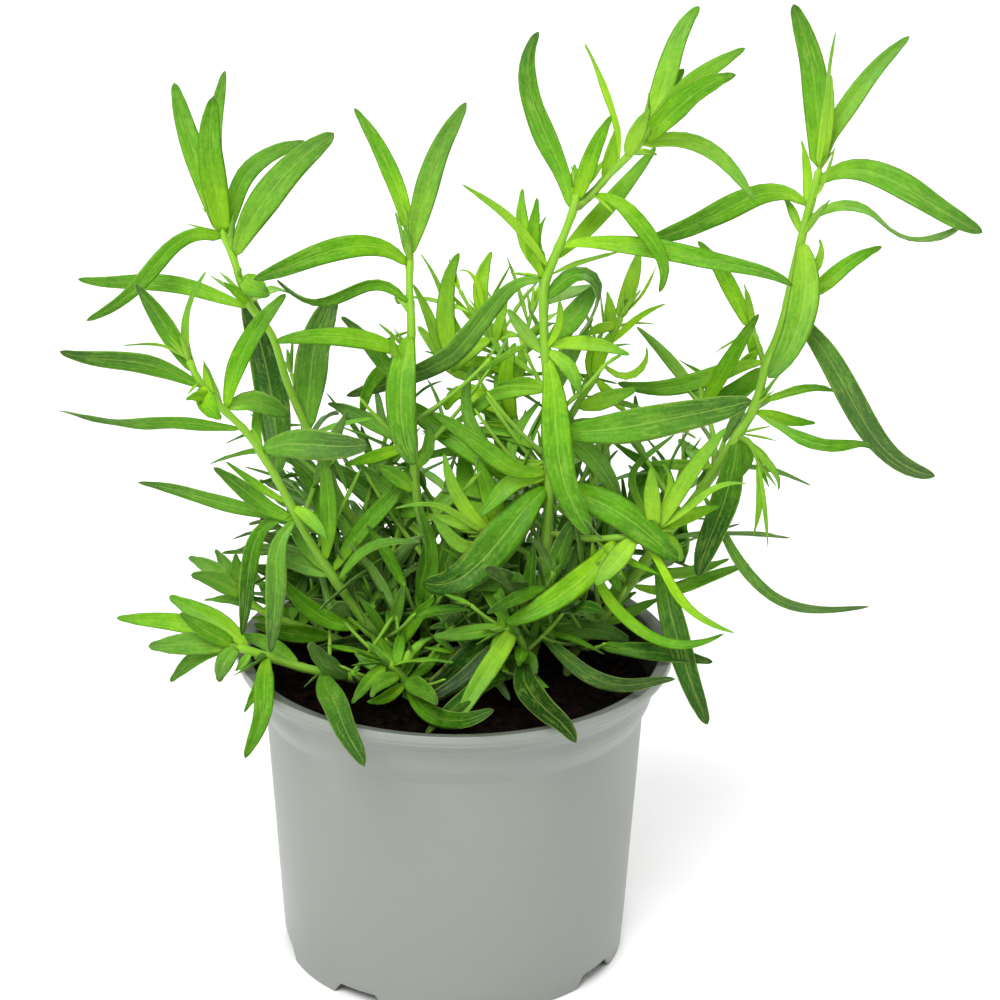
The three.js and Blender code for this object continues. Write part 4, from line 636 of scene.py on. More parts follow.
      [0.9, 0, -3, 90.3,55, 92,45, 93,36, 93.5,28.5],
    ]),
  dict(node="shoot_right_tall", radii=[0.9, 0.6],
    stem=[[92.5, 82.5, 10.9], [91, 88, 14], [89, 94, 16]],
    leaves=[
      [4.2, 10, 3, 89.2,93.5, 84.5,102, 80.5,110, 77,115.5, 72.5,120.3],
      [3.3, 10, -5, 89.4,93, 89,90, 89.6,84.8],
      [2.4, 20, 2, 91,88, 86.5,84.5, 84,83.5],
    ],
    slim=[
      [1.9, 30, 0, 89.2,93.5, 88.3,101, 86.4,107.6],
    ]),
  dict(node="shoot_right_tall", radii=[1, 0.7],
    stem=[[77.6, 52, 6.8], [77.5, 59, 12], [76.5, 65, 15], [74.5, 71, 17]],
    leaves=[
      [4.2, 10, -3, 74.8,70.5, 78,78, 82.5,85, 86.5,92, 90.7,98.6],
      [3.2, 170, 2, 74.8,70.5, 70,77.5, 64.5,84.5, 59,90.5, 54.2,94.8],
    ],
    slim=[
      [1.2, 30, 4, 74.8,71, 76,80, 72,81.8, 66.7,85],
    ]),

  dict(node="shoot_low_left", radii=[1.5, 1.1], foot=[-27, -12],
    stem=[[-31, -10, -15], [-40, -8.3, -18], [-50, -5.8, -18], [-58, -3, -19], [-66, -0.5, -20]],
    leaves=[
      [5.6, 0, 4, -61,-2, -67,4.5, -73,8, -79,10.8, -85.3,14.3],
      [4.8, 0, 4, -65,-0.8, -74,4.5, -84,6.7, -92,7.3, -101,7.8],
      [6, 0, -6, -65.5,-0.6, -74,0.5, -82,0, -87,-0.5, -91.5,-0.5],
      [4.4, 0, -8, -65.5,-0.6, -72,3, -77,5.5, -82,9.3],
      [4.2, 0, -8, -65.5,-0.6, -73,-1.2, -78,-4, -82,-8, -85,-11.2],
      [4.8, 0, -10, -64.5,-1, -68,-3.5, -69.5,-7, -70.5,-11.3],
      [2.2, 0, -4, -61,-2, -63,-5.5, -65.5,-8],
      [5.2, 0, -10, -56,-3.7, -57,-12, -57,-19, -59,-26, -62.8,-34],
      [2.9, 10, -12, -55,-4.2, -58,-11, -60.5,-16, -63,-20.4],
      [5.5, 160, -8, -31,-10, -35,-8, -39.5,-5, -43.5,0.5],
      [6.6, 0, -30, -39,-8.5, -38.5,-13, -36,-17, -32.5,-26, -29,-32, -26.8,-36.3],
      [4.4, 0, 4, -46,-6.8, -52,-2, -58,1.5, -64,2.5],
    ]),

  dict(node="shoot_low_left_back", radii=[1.4, 0.9], foot=[-24, 8],
    stem=[[-30, -1, 8], [-38, 2.5, 8], [-47, 5.5, 8], [-56, 9, 8], [-62, 13.5, 8], [-65, 17, 8]],
    leaves=[
      [5.2, 0, 0, -63,14.5, -69,18.3, -74,20.3, -78.8,20.5],
      [4.4, 0, 2, -64,16, -69,20.5, -74,23.5, -79.5,26],
      [3.6, 0, 2, -64,16, -68,23, -71.5,28.3],
      [3.6, 0, -3, -64,16, -65,22, -65.5,27],
      [5, 0, 5, -36,2, -42,3, -50,3, -60,6],
      [4, 0, 6, -45,5, -44,12, -40,18],
    ],
    fill=[7, 0.2, 0.9, 26, 4.4, 110, 100]),

  dict(node="shoot_front", radii=[1.5, 0.9], foot=[21, -10],
    stem=[[20.8, -6, -12], [20, 0, -14], [17, 4.5, -17], [13.5, 4.5, -19]],
    leaves=[
      [4.1, 0, -4, 14.5,4.6, 8,4, 0,2.7, -6.5,2.4],
      [2, 0, -2, 14.2,4.5, 13.4,9.4],
      [3, 0, -8, 14.3,4.5, 11.6,-1.5, 13,-5.5, 16.2,-8.7],
      [5.3, 0, -16, 17.5,4, 13,-3, 9,-9, 5,-15, 2,-20.5, 0.8,-24.3],
      [9, 0, -6, 18.5,3, 11,1, 5,-5, -1,-10.5, -6,-14, -11,-16.2],
      [6.6, 0, -26, 20.6,-5, 21,-12, 27,-19.5, 32.5,-24, 36.3,-29.3],
      [2.9, 0, -10, 20.6,-6, 23.5,-11.5, 26,-14.5, 28.2,-18.3],
      [3.8, 0, -6, 20.3,-1.5, 22.5,-5, 24.3,-9.2],
      [6, 0, -3, 20.4,-3, 16,-7, 12,-11],
      [2.4, 10, 4, 20.7,-6, 24,-11, 28,-13],
    ],
    fill=[6, 0.1, 0.9, 22, 4, 200, 160]),

  dict(node="shoot_front_left", radii=[1.4, 0.9], foot=[-14, -17],
    stem=[[-14.5, -11.5, -18], [-17, -8, -20], [-20.5, -5.5, -22]],
    leaves=[
      [3.2, 0, -4, -14.5,-11.5, -18,-14.5, -22,-16.8, -26.2,-17.3],
      [3.5, 0, -10, -20,-5.8, -25,-10, -28,-14, -30.8,-17.7],
      [5, 0, -14, -14.3,-12, -11,-17, -8,-20.5, -3,-22.6, 4,-22.6, 11.6,-19.4],
      [2.4, 0, -2, -14.8,-11, -8,-7, -6,-4, -2.8,-1],
      [4.5, 0, 2, -17,-8, -24,-6, -30,-2],
      [4, 0, -6, -16,-9, -23,-12, -25,-16],
      [5, 0, 4, -15,-11, -9,-14, -5,-18],
    ],
    fill=[6, 0.1, 0.9, 22, 4, 60, 160]),

  dict(node="shoot_back_left", radii=[1.4, 0.9], foot=[-25, 30],
    stem=[[-27, 8, 32], [-29, 19, 35], [-31, 30, 38], [-32, 39, 42]], leaves=[],
    fill=[16, 0.06, 1, 36, 6, 110, 330]),
  dict(node="shoot_back_middle", radii=[1.5, 0.9], foot=[4, 32],
    stem=[[4, 9, 35], [4, 21, 39], [3, 32, 44], [2, 42, 50]], leaves=[],
    fill=[18, 0.06, 1, 37, 6, 95, 330]),
  dict(node="shoot_back_right", radii=[1.4, 0.9], foot=[29, 28],
    stem=[[32, 8, 30], [36, 18, 34], [40, 28, 39], [43, 37, 45]], leaves=[],
    fill=[16, 0.06, 1, 36, 6, 70, 330]),
]

# %% Grow the plant
lines = [stem_line(sprig) for sprig in SPRIGS]
for sprig, line in zip(SPRIGS, lines):
    keep(stem_spots(sprig, line), sprig["node"])
grown = [[drawn_blade(leaf, index, root_on(line, leaf[3], leaf[4]), sprig["node"])
          for index, leaf in enumerate(sprig["leaves"])] for sprig, line in zip(SPRIGS, lines)]
for number, (sprig, line) in enumerate(zip(SPRIGS, lines)):
    if "fill" in sprig:
        grown[number] += rule_blades(sprig, line, number + 1)
print("leaves:", sum(len(blades) for blades in grown))

# %% [markdown]
# ## What the solids leave out
# A tarragon stem has more than its large leaves: slim leaves, tufts of small ones in the axils, thin side
# twigs in the heart of the plant and a bud of folded leaves at each tip. They are too fine for the solids,
# so they grow here, after the others and by the same rules, and take the room that is left.

# %% Draws and side twigs
rng = random.Random(7)
AXIL_SHARE, AXIL_FROM_WIDTH, AXIL_HIDES = 0.5, 3, 0.6
BUD_LEAVES, BUD_DEPTH = 5, 2
# TWIG_SHADE is painted shade: it darkens every twig's leaves, which grow in the heart of the plant.
LEAF_EVERY, TWIG_RADII, TWIG_SHADE, TWIG_HIDES = 4.2, (0.7, 0.45), 0.27, 0.12
# Side twigs: stem, share of its length, heading (0 is +X, 90 is back), lift and length.
TWIGS = [
    (0, 0.10, 120, 40, 26), (0, 0.18, 60, 50, 30), (0, 0.30, 100, 35, 28), (0, 0.42, 40, 45, 24),
    (1, 0.12, 20, 45, 30), (1, 0.20, 150, 40, 28), (1, 0.30, 60, 50, 28), (1, 0.40, 170, 35, 24),
    (2, 0.08, 250, 45, 26), (2, 0.16, 30, 50, 30), (2, 0.24, 160, 45, 30), (2, 0.34, 330, 40, 26),
    (2, 0.44, 100, 45, 26), (2, 0.52, 200, 40, 22), (3, 0.10, 200, 45, 28), (3, 0.16, 60, 50, 32),
    (3, 0.24, 130, 45, 34), (3, 0.32, 20, 40, 28), (3, 0.40, 170, 45, 28), (3, 0.48, 80, 40, 26),
    (9, 0.10, 100, 50, 30), (9, 0.18, 200, 45, 26), (9, 0.26, 60, 45, 26), (17, 0.35, 200, 45, 30),
    (17, 0.7, 40, 50, 28), (18, 0.3, 60, 45, 32), (18, 0.65, 170, 50, 30), (19, 0.35, 10, 45, 30),
    (19, 0.7, 140, 50, 28), (14, 0.4, 100, 40, 20), (13, 0.3, 90, 40, 20), (15, 0.4, 20, 35, 18),
    (16, 0.4, 100, 45, 20), (0, 0.05, 250, 30, 20), (0, 0.13, 300, 30, 22), (2, 0.05, 330, 35, 22),
    (2, 0.10, 60, 40, 24), (3, 0.06, 250, 35, 22), (3, 0.12, 320, 35, 24), (15, 0.7, 200, 30, 18),
    (15, 0.2, 160, 40, 20), (16, 0.8, 160, 30, 18), (16, 0.2, 20, 40, 20), (9, 0.06, 250, 35, 22),
    (1, 0.06, 250, 35, 24), (13, 0.15, 20, 45, 20), (14, 0.2, 30, 45, 22), (3, 0.44, 200, 40, 24),
    (3, 0.52, 330, 40, 24), (5, 0.2, 150, 50, 22), (6, 0.3, 200, 50, 22), (6, 0.6, 60, 50, 20),
    (7, 0.4, 80, 50, 20), (9, 0.34, 150, 45, 24), (9, 0.42, 60, 40, 22), (0, 0.5, 60, 45, 20),
    (1, 0.5, 120, 45, 22),
    (0, 0.03, 160, 45, 24), (0, 0.08, 200, 35, 22), (1, 0.03, 300, 40, 26), (1, 0.08, 350, 45, 28),
    (1, 0.16, 250, 40, 28), (2, 0.03, 200, 35, 26), (2, 0.07, 100, 45, 28), (2, 0.12, 290, 35, 26),
    (3, 0.03, 130, 45, 28), (3, 0.08, 190, 40, 28), (3, 0.14, 280, 35, 24), (9, 0.03, 170, 45, 26),
    (9, 0.08, 300, 40, 24), (9, 0.13, 30, 45, 24), (17, 0.15, 260, 40, 28), (17, 0.25, 330, 45, 28),
    (18, 0.12, 230, 40, 30), (18, 0.2, 310, 40, 30), (19, 0.15, 230, 40, 28), (19, 0.25, 290, 45, 26),
    (2, 0.50, 20, 40, 34), (2, 0.58, 340, 35, 30), (3, 0.36, 190, 45, 32), (3, 0.44, 215, 40, 30),
    (6, 0.45, 100, 50, 26), (6, 0.75, 150, 45, 22), (5, 0.35, 60, 45, 24), (16, 0.1, 200, 15, 22),
    (16, 0.15, 300, 15, 24), (15, 0.1, 250, 15, 22), (15, 0.1, 200, 15, 24), (0, 0.04, 230, 15, 26),
    (13, 0.1, 270, 20, 20), (2, 0.03, 260, 15, 28), (9, 0.04, 240, 15, 26), (9, 0.03, 290, 15, 24),
]

# %% Leaves and stems that are darker (+) or lighter (-) than their place says
# TONES is {stem number: {leaf number: shift}} and STEM_TONES is {stem number: shift}.
TONES = {
    0: {0: 0.15, 2: 0.2, 5: 0.3, 7: 0.2, 8: 0.4, 10: 0.1, 19: 0.15, 20: 0.1},
    1: {0: 0.15, 3: 0.15, 4: 0.15, 5: 0.25, 6: 0.2, 7: 0.2},
    2: {2: 0.1, 3: 0.2, 4: 0.1, 5: 0.2, 7: 0.1},
    3: {1: 0.1, 2: 0.2, 3: 0.1, 4: -0.2, 5: 0.2, 6: 0.2, 12: 0.35, 25: 0.4, 26: -0.1, 27: -0.15, 28: -0.15},
    4: {0: 0.15, 1: 0.15, 2: 0.1, 3: 0.1, 6: 0.15, 8: 0.2},
    9: {0: 0.2, 1: 0.1, 4: 0.15, 5: 0.3, 6: 0.2, 9: 0.1, 11: 0.35, 15: 0.25, 16: 0.3, 19: 0.25},
    13: {0: -0.2, 1: -0.2, 2: -0.1, 9: 0.3, 10: 0.1},
    15: {0: -0.2, 2: -0.2, 3: -0.3, 4: 0.45, 5: 0.6, 7: -0.1},
    16: {0: -0.1, 1: -0.1, 2: 0.15},
}
STEM_TONES = {5: -0.3, 6: -0.35, 7: -0.3, 8: -0.25, 13: -0.1, 16: -0.1}
for number, tones in TONES.items():
    for leaf, shift in tones.items():
        grown[number][leaf]["tone"] = shift
for number, shift in STEM_TONES.items():
    SPRIGS[number]["age"] = shift

# %% Slim leaves
for sprig, line, blades in zip(SPRIGS, lines, grown):
    for index, leaf in enumerate(sprig.get("slim", ())):
        blades.append(drawn_blade(leaf, index, root_on(line, leaf[3], leaf[4]), sprig["node"]))

# %% Room behind the large leaves
# The small leaves grow behind the large ones, so each cell of the sheet knows its nearest large leaf.
SHEET_CELL, IN_FRONT, SMALL_ROOM = 1.5, 0.5, 0.3
nearest = {}


def cells_of(spots):
    """The sheet's cells that spots fall in, each with the spot's depth."""
    points = np.array([spot_[0] for spot_ in spots]) - EYE
    points *= ((RIM_CENTRE - EYE) @ AHEAD / (points @ AHEAD))[:, None]
    offset = points + EYE - RIM_CENTRE
    places = zip(*((offset @ side / SHEET_CELL).round().tolist() for side in (SHEET_RIGHT, SHEET_UP)))
    return [(place, spot_[0][1]) for place, spot_ in zip(places, spots)]


def small_spots(blade):
    """A small leaf's spots, away from its root. It is thin, so it needs little room."""
    return [(point, SMALL_ROOM, False) for point, _, near_root in blade_spots(blade) if not near_root]


def hidden_share(spots):
    """The share of these spots that lies in front of a large leaf."""
    found = [depth < nearest.get(place, -math.inf) - IN_FRONT for place, depth in cells_of(spots)]
    return sum(found) / max(len(found), 1)


for sprig, blades in zip(SPRIGS, grown):
    for blade in blades[:len(sprig["leaves"])]:
        for place, depth in cells_of(blade_spots(blade)):
            nearest[place] = min(nearest.get(place, math.inf), depth)


# %% Small leaves
AXIL_OUT, AXIL_UP, AXIL_ASIDE, AXIL_RISE, AXIL_BACK = (0.3, 0.9), (0.4, 1.0), 0.45, 0.8, 0.4
AXIL_LENGTH, AXIL_SLIMNESS, AXIL_HANG, AXIL_MARK = (6, 17), (0.13, 0.2), (0, 0.15), 0.25
BUD_SPREAD, BUD_LENGTH, BUD_WIDTH, BUD_MARK = (6, 24), (5, 12), (1.2, 2.2), 0.97


def axis_at(line, point):
    """The stem's direction where it passes nearest to a point."""
    shares = np.arange(ROOT_STEPS + 1) / ROOT_STEPS
    share = shares[np.argmin(np.linalg.norm(along(line, shares) - point, axis=1))]
    return unit(along(line, share + NUDGE) - along(line, share - NUDGE))


def small_blade(root, way, back, length, width, hang):
    """A small leaf that sets out one way, faces back and hangs at its tip."""
    points = [root + way * length * s - np.array([0, 0, hang * length * s * s]) for s in (0, 0.35, 0.7, 1)]
    return dict(line=line_through(points), width=width, turn=0, facing=lambda _, back=back: back)


def axil_blades(blade, line, node):
    """One to three small leaves in the angle between a leaf and its stem."""
    root = root_of(blade)
    axis = axis_at(line, root)
    way = unit(along(blade["line"], AXIL_MARK) - root)
    found = []
    for _ in range(rng.choice((1, 2, 2, 3))):
        aside = np.array([rng.uniform(-1, 1) for _ in range(3)])
        ahead = unit(way * rng.uniform(*AXIL_OUT) + axis * rng.uniform(*AXIL_UP) + aside * AXIL_ASIDE)
        length = rng.uniform(*AXIL_LENGTH)
        small = small_blade(root + axis * AXIL_RISE, ahead, unit(axis - ahead * AXIL_BACK), length,
                            length * rng.uniform(*AXIL_SLIMNESS), rng.uniform(*AXIL_HANG))
        spots = small_spots(small)
        if spots and sum(crossings(spots, node)) <= 1 and hidden_share(spots) < AXIL_HIDES:
            keep(spots, node)
            found.append(small)
    return found


def bud_blades(line):
    """The folded young leaves at the tip of a stem or twig."""
    tip = along(line, 1.0)
    axis = unit(tip - along(line, BUD_MARK))
    first = unit(np.cross(axis, [0.3, 0.9, 0.2]))
    second = np.cross(axis, first)
    found = []
    for k in range(BUD_LEAVES):
        heading = k * GOLDEN
        radial = first * math.cos(heading) + second * math.sin(heading)
        spread = math.radians(rng.uniform(*BUD_SPREAD))
        length = rng.uniform(*BUD_LENGTH)
        ahead = axis * math.cos(spread) + radial * math.sin(spread)
        found.append(small_blade(tip - axis * BUD_DEPTH, ahead, unit(axis * 0.2 - radial), length,
                                 rng.uniform(*BUD_WIDTH), 0.0))
    return found


# %% Side twigs
SPREADS, SPREAD_LOSS, SPREAD_CHANCE = (58, 40, 75), 22, (-8, 8)
TWIG_FIRST, TWIG_SPAN, TWIG_RISE, TWIG_BACK = 0.12, 0.85, 0.2, 0.3
TWIG_LENGTH, TWIG_SLIMNESS, TWIG_HANG, LOW_TOP = (24, 34), (0.1, 0.13), (0.05, 0.4), 60.0


def twig_of(number, share, heading, lift, length):
    """A thin side twig on a stem, with leaves a golden angle apart that get smaller to its tip."""
    way = out_of_stem(math.radians(heading), math.radians(lift))
    start = along(lines[number], share)
    line = line_through([start + way * length * s + np.array([0, 0, TWIG_RISE * length * s * s])
                         for s in (0, 0.35, 0.7, 1)])
    node, blades = SPRIGS[number]["node"], []
    keep(stem_spots(dict(radii=TWIG_RADII), line), node)
    count = round(length / LEAF_EVERY)
    for k in range(count):
        share = TWIG_FIRST + TWIG_SPAN * k / count
        root = along(line, share)
        axis = axis_at(line, root)
        first = unit(np.cross(axis, [0.3, 0.2, 0.9]))
        radial = first * math.cos(k * GOLDEN) + np.cross(axis, first) * math.sin(k * GOLDEN)
        for spread in SPREADS:
            angle = math.radians(spread - SPREAD_LOSS * share + rng.uniform(*SPREAD_CHANCE))
            ahead = axis * math.cos(angle) + radial * math.sin(angle)
            low = 1 - min(max(sheet_height(root) / LOW_TOP, 0), 1)
            size = rng.uniform(*TWIG_LENGTH) * (1.1 - 0.4 * share) * (1 + 0.4 * low)
            width = size * (rng.uniform(*TWIG_SLIMNESS) + 0.025 * low)
            blade = small_blade(root, ahead, unit(axis - ahead * TWIG_BACK), size, width,
                                rng.uniform(*TWIG_HANG))
            spots = small_spots(blade)
            if crossings(spots, node)[0] <= 1 and hidden_share(spots) < TWIG_HIDES:
                keep(spots, node)
                blades.append(blade)
                break
    # The twig's leaves take their stem's shift and are painted darker on top of it, as shade.
    return dict(node=node, radii=TWIG_RADII, age=SPRIGS[number].get("age", 0) + TWIG_SHADE), line, blades


# %% Grow the small ones
twigs = [twig_of(*row) for row in TWIGS]
for sprig, line, blades in zip(SPRIGS, lines, grown):
    for blade in list(blades):
        if blade["width"] > AXIL_FROM_WIDTH and rng.random() < AXIL_SHARE:
            blades += axil_blades(blade, line, sprig["node"])
    blades += bud_blades(line)
SPRIGS += [twig[0] for twig in twigs]
lines += [twig[1] for twig in twigs]
grown += [twig[2] + [blade for blade in bud_blades(twig[1])
                     if hidden_share(blade_spots(blade)) < TWIG_HIDES] for twig in twigs]
print("with the small ones:", sum(len(blades) for blades in grown))

# %% [markdown]
# ## The skin of a leaf and of a stem
# A leaf and a stem are both a sheet wrapped round a line. The sheet is a grid: its rows go along the line
# and its columns go round the section, which is a shallow keel for a leaf and a ridged ring for a stem.
# The two long edges and each end are then welded, so that every leaf is closed. The grid keeps a UV map of
# its own, across and along, for the veins.

# %% Wrapping a grid round a line
WELD = 1e-7
ACROSS = np.array([-1, -0.72, -0.36, 0, 0.36, 0.72, 1])
FACES_ACROSS = len(ACROSS) - 1
BLADE_THICK = 0.45
WIDER = 1.05
STALKED, SHEATHING, WIDEST = 0.24, 0.6, 0.47
TIP_ROWS = (0.955, 0.975, 0.99, 0.998, 1.0)
ROW_EVERY, FEWEST_ROWS, MOST_ROWS = 3.2, 8, 28
SLIM_TAPER, TAPER_BY_WIDTH, LEAST_TAPER, MOST_TAPER = 0.86, 0.045, 0.48, 0.76
FOLD, CURL, WAVES, RIPPLE, RIB_DEPTH, THIN_EDGE = (0.24, 0.54), (0.02, 0.16), (1.5, 3.5), 0.05, 0.16, 0.8
STEM_SIDES, STEM_ROW_EVERY, STEM_SHARE = 12, 2.2, 0.92
RIDGES, RIDGE_HEIGHT, KNOT_SWELL, KNOT_REACH = 4, 0.07, 0.2, 1.8


def wrap(bm, points, across, age, under, length, bloom=0.0):
    """Lays a grid on points[row][column], welds its long edges and its ends, and marks its faces.

    age is a function of the share of the length, and under has a value for each column of faces.
    """
    rows, columns = points.shape[0] - 1, points.shape[1] - 1
    uv_map = bm.loops.layers.uv.verify()
    ages, unders, lengths, blooms = (bm.faces.layers.float.get(name) or bm.faces.layers.float.new(name)
                                     for name in ("age", "under", "length", "bloom"))
    grid = bmesh.ops.create_grid(bm, x_segments=columns, y_segments=rows, size=1)["verts"]
    where = {}
    for vert in grid:
        where[vert] = (round((vert.co.y + 1) / 2 * rows), round((vert.co.x + 1) / 2 * columns))
        vert.co = points[where[vert]] * MM
    for face in {face for vert in grid for face in vert.link_faces}:
        marks = [where[loop.vert] for loop in face.loops]
        for loop, (row, column) in zip(face.loops, marks):
            loop[uv_map].uv = (0.5 + across[column] / 2, row / rows)
        column = min(column for _, column in marks)
        face[ages] = age(min(row for row, _ in marks) / rows)
        face[unders] = under[column]
        face[lengths] = length
        face[blooms] = bloom
        face.smooth = True
    bmesh.ops.remove_doubles(bm, verts=grid, dist=WELD)


def fullness(share, width, base):
    """The width of a real blade at a share of its length. It tapers to a blunt tip, blunter when wide."""
    tip = np.clip((share - WIDEST) / (1 - WIDEST), 0, 1)
    taper = 1 - min(max(SLIM_TAPER - TAPER_BY_WIDTH * width, LEAST_TAPER), MOST_TAPER) * tip ** 1.5
    rise = base + (1 - base) * np.sin(np.minimum(share / WIDEST, 1) * math.pi / 2)
    return np.where(share < WIDEST, rise, taper * (1 - tip ** 12) ** 0.5)


def evened(points):
    """Takes the small kinks out of a row of points and keeps its two ends."""
    for _ in range(3):
        points = np.concatenate([points[:1], (points[:-2] + 2 * points[1:-1] + points[2:]) / 4, points[-1:]])
    return points


def add_blade(bm, blade, age, bloom, base, chance):
    """One leaf: a thin keel with a rib beneath, curled and rippled a little by chance."""
    length = length_of(blade["line"])
    rows = min(max(round(length / ROW_EVERY), FEWEST_ROWS), MOST_ROWS)
    share = np.append(np.linspace(0, 0.93, rows), TIP_ROWS)
    middle, across, out = (evened(part) for part in frames(
        blade["line"], share, blade["facing"], blade["turn"]))
    width = blade["width"] * WIDER
    half = (width / 2 * fullness(share, width, base))[:, None]
    half[0] = 0
    fold, curl = chance.uniform(*FOLD), chance.uniform(*CURL)
    waves, start = chance.uniform(*WAVES), chance.uniform(0, 2 * math.pi)
    ripple = RIPPLE * width * np.sin(share * waves * 2 * math.pi + start)[:, None]
    rise = half * (fold * np.abs(ACROSS) - curl * ACROSS ** 2) + ripple * ACROSS * np.abs(ACROSS)
    thick = BLADE_THICK / 2 * np.sqrt(1 - ACROSS ** 2) * np.minimum(half / THIN_EDGE, 1)
    rib = np.where(ACROSS == 0, RIB_DEPTH, 0) * np.minimum(half, 1)

    def face_of(lift):
        aside = across[:, None] * (half * ACROSS)[..., None]
        return middle[:, None] + aside + out[:, None] * lift[..., None]

    upper, lower = face_of(rise + thick), face_of(rise - thick - rib)
    points = np.concatenate([upper, lower[:, -2::-1]], axis=1)
    columns = np.concatenate([ACROSS, ACROSS[-2::-1]])
    under = [0.0] * FACES_ACROSS + [1.0] * FACES_ACROSS
    wrap(bm, points, columns, lambda _: age, under, length, bloom)


def add_stem(bm, sprig, line, roots):
    """One ridged stalk that swells where a leaf is rooted. A main stem's foot goes down into the peat."""
    length = length_of(line)
    rows = max(math.ceil(length / STEM_ROW_EVERY), FEWEST_ROWS)
    share = np.arange(rows + 1) / rows
    middle, across, out = frames(line, share, towards_eye, 0)
    low, high = sprig["radii"]
    radius = STEM_SHARE * (low + (high - low) * share)
    if len(roots):
        apart = np.linalg.norm(middle[:, None] - np.array(roots)[None], axis=2).min(axis=1)
        radius += KNOT_SWELL * np.exp(-(apart / KNOT_REACH) ** 2)
    if "foot" in sprig:
        depths = np.array([[0, 0, -FOOT_DEPTH - FOOT_CLEAR], [0, 0, -FOOT_CLEAR * 1.2]])
        middle = np.concatenate([middle[0] + depths, middle])
        across, out = (np.concatenate([side[:1], side[:1], side]) for side in (across, out))
        radius = np.concatenate([[low, low], radius])
    else:
        radius[0] = 0
    radius[-1] = 0
    angle = -2 * math.pi * np.arange(STEM_SIDES + 1) / STEM_SIDES
    ridge = 1 + RIDGE_HEIGHT * np.cos(angle * RIDGES)
    offset = across[:, None] * np.cos(angle)[None, :, None] + out[:, None] * np.sin(angle)[None, :, None]
    points = middle[:, None] + offset * (radius[:, None] * ridge)[..., None]
    wrap(bm, points, np.linspace(-1, 1, STEM_SIDES + 1), lambda share: 1 - share, [0.0] * STEM_SIDES, length)

# %% [markdown]
# ## Finishes
# Every finish is built from nodes. `put` adds a node and `join` joins or sets its inputs, so that each
# finish reads from top to bottom like a recipe.

# %% Node helpers
def join(tree, node, inputs):
    """Fills a node's inputs: sockets are joined and values are set."""
    for name, value in inputs.items():
        socket = node.inputs[name]
        if isinstance(value, bpy.types.NodeSocket):
            tree.links.new(value, socket)
        elif socket.type == "RGBA":
            socket.default_value = (*value, 1.0)
        else:
            socket.default_value = value


def put(tree, kind, inputs=None, **settings):
    """Adds a node with these settings and inputs."""
    made = tree.nodes.new(kind)
    for name, value in settings.items():
        setattr(made, name, value)
    join(tree, made, inputs or {})
    return made


def maths(tree, operation, *values):
    return put(tree, "ShaderNodeMath", dict(enumerate(values)), operation=operation).outputs[0]


def times(tree, first, second):
    return maths(tree, "MULTIPLY", first, second)


def plus(tree, first, second):
    return maths(tree, "ADD", first, second)


def less(tree, first, second):
    return maths(tree, "SUBTRACT", first, second)


def blended(tree, share, first, second):
    """From the first colour, where the share is 0, to the second, where it is 1."""
    return put(tree, "ShaderNodeMix", {0: share, 6: first, 7: second}, data_type="RGBA").outputs[2]


def tinted(tree, mask, weight, first, second):
    """The first colour, with this weight of the second where the mask is 1."""
    return blended(tree, times(tree, mask, weight), first, second)


def rescaled(tree, value, low, high, to_low=0.0, to_high=1.0):
    return put(tree, "ShaderNodeMapRange", {"Value": value, "From Min": low, "From Max": high,
                                            "To Min": to_low, "To Max": to_high}).outputs[0]


def noise_of(tree, place, scale, detail=3.0, roughness=0.5):
    return put(tree, "ShaderNodeTexNoise", {"Vector": place, "Scale": scale, "Detail": detail,
                                            "Roughness": roughness}).outputs["Fac"]


def marked(tree, name):
    """What each face was marked with under this name."""
    return put(tree, "ShaderNodeAttribute", attribute_name=name).outputs["Fac"]


def place_in(tree):
    return put(tree, "ShaderNodeTexCoord").outputs["Object"]


def place_on_blade(tree):
    """How far across and along its leaf or stalk a place is, each from 0 to 1."""
    flat = put(tree, "ShaderNodeUVMap", uv_map="blade").outputs[0]
    return put(tree, "ShaderNodeSeparateXYZ", {0: flat}).outputs[:2]


def bumped(tree, height, strength, distance):
    return put(tree, "ShaderNodeBump", {"Height": height, "Strength": strength,
                                        "Distance": distance}).outputs[0]


def painted(name):
    """A new material, its tree and its Principled shader."""
    made = bpy.data.materials.new(name)
    made.use_nodes = True
    return made, made.node_tree, made.node_tree.nodes["Principled BSDF"]


def group_of(name, takes, gives):
    """A new node group that takes {input: start value} and gives the named outputs, all plain numbers."""
    tree = bpy.data.node_groups.new(name, "ShaderNodeTree")
    for label, value in takes.items():
        tree.interface.new_socket(label, in_out="INPUT", socket_type="NodeSocketFloat").default_value = value
    for label in gives:
        tree.interface.new_socket(label, in_out="OUTPUT", socket_type="NodeSocketFloat")
    return tree, tree.nodes.new("NodeGroupInput").outputs, tree.nodes.new("NodeGroupOutput")


# %% [markdown]
# ## Fibres
# Leaves and stalks share one look: fine fibres that run lengthwise, furrows between them, and cells that
# make the green uneven. That is one node group. It reads the map across and along the piece, so that the
# fibres follow each leaf wherever it bends: a noise that is drawn out lengthwise gives long streaks.

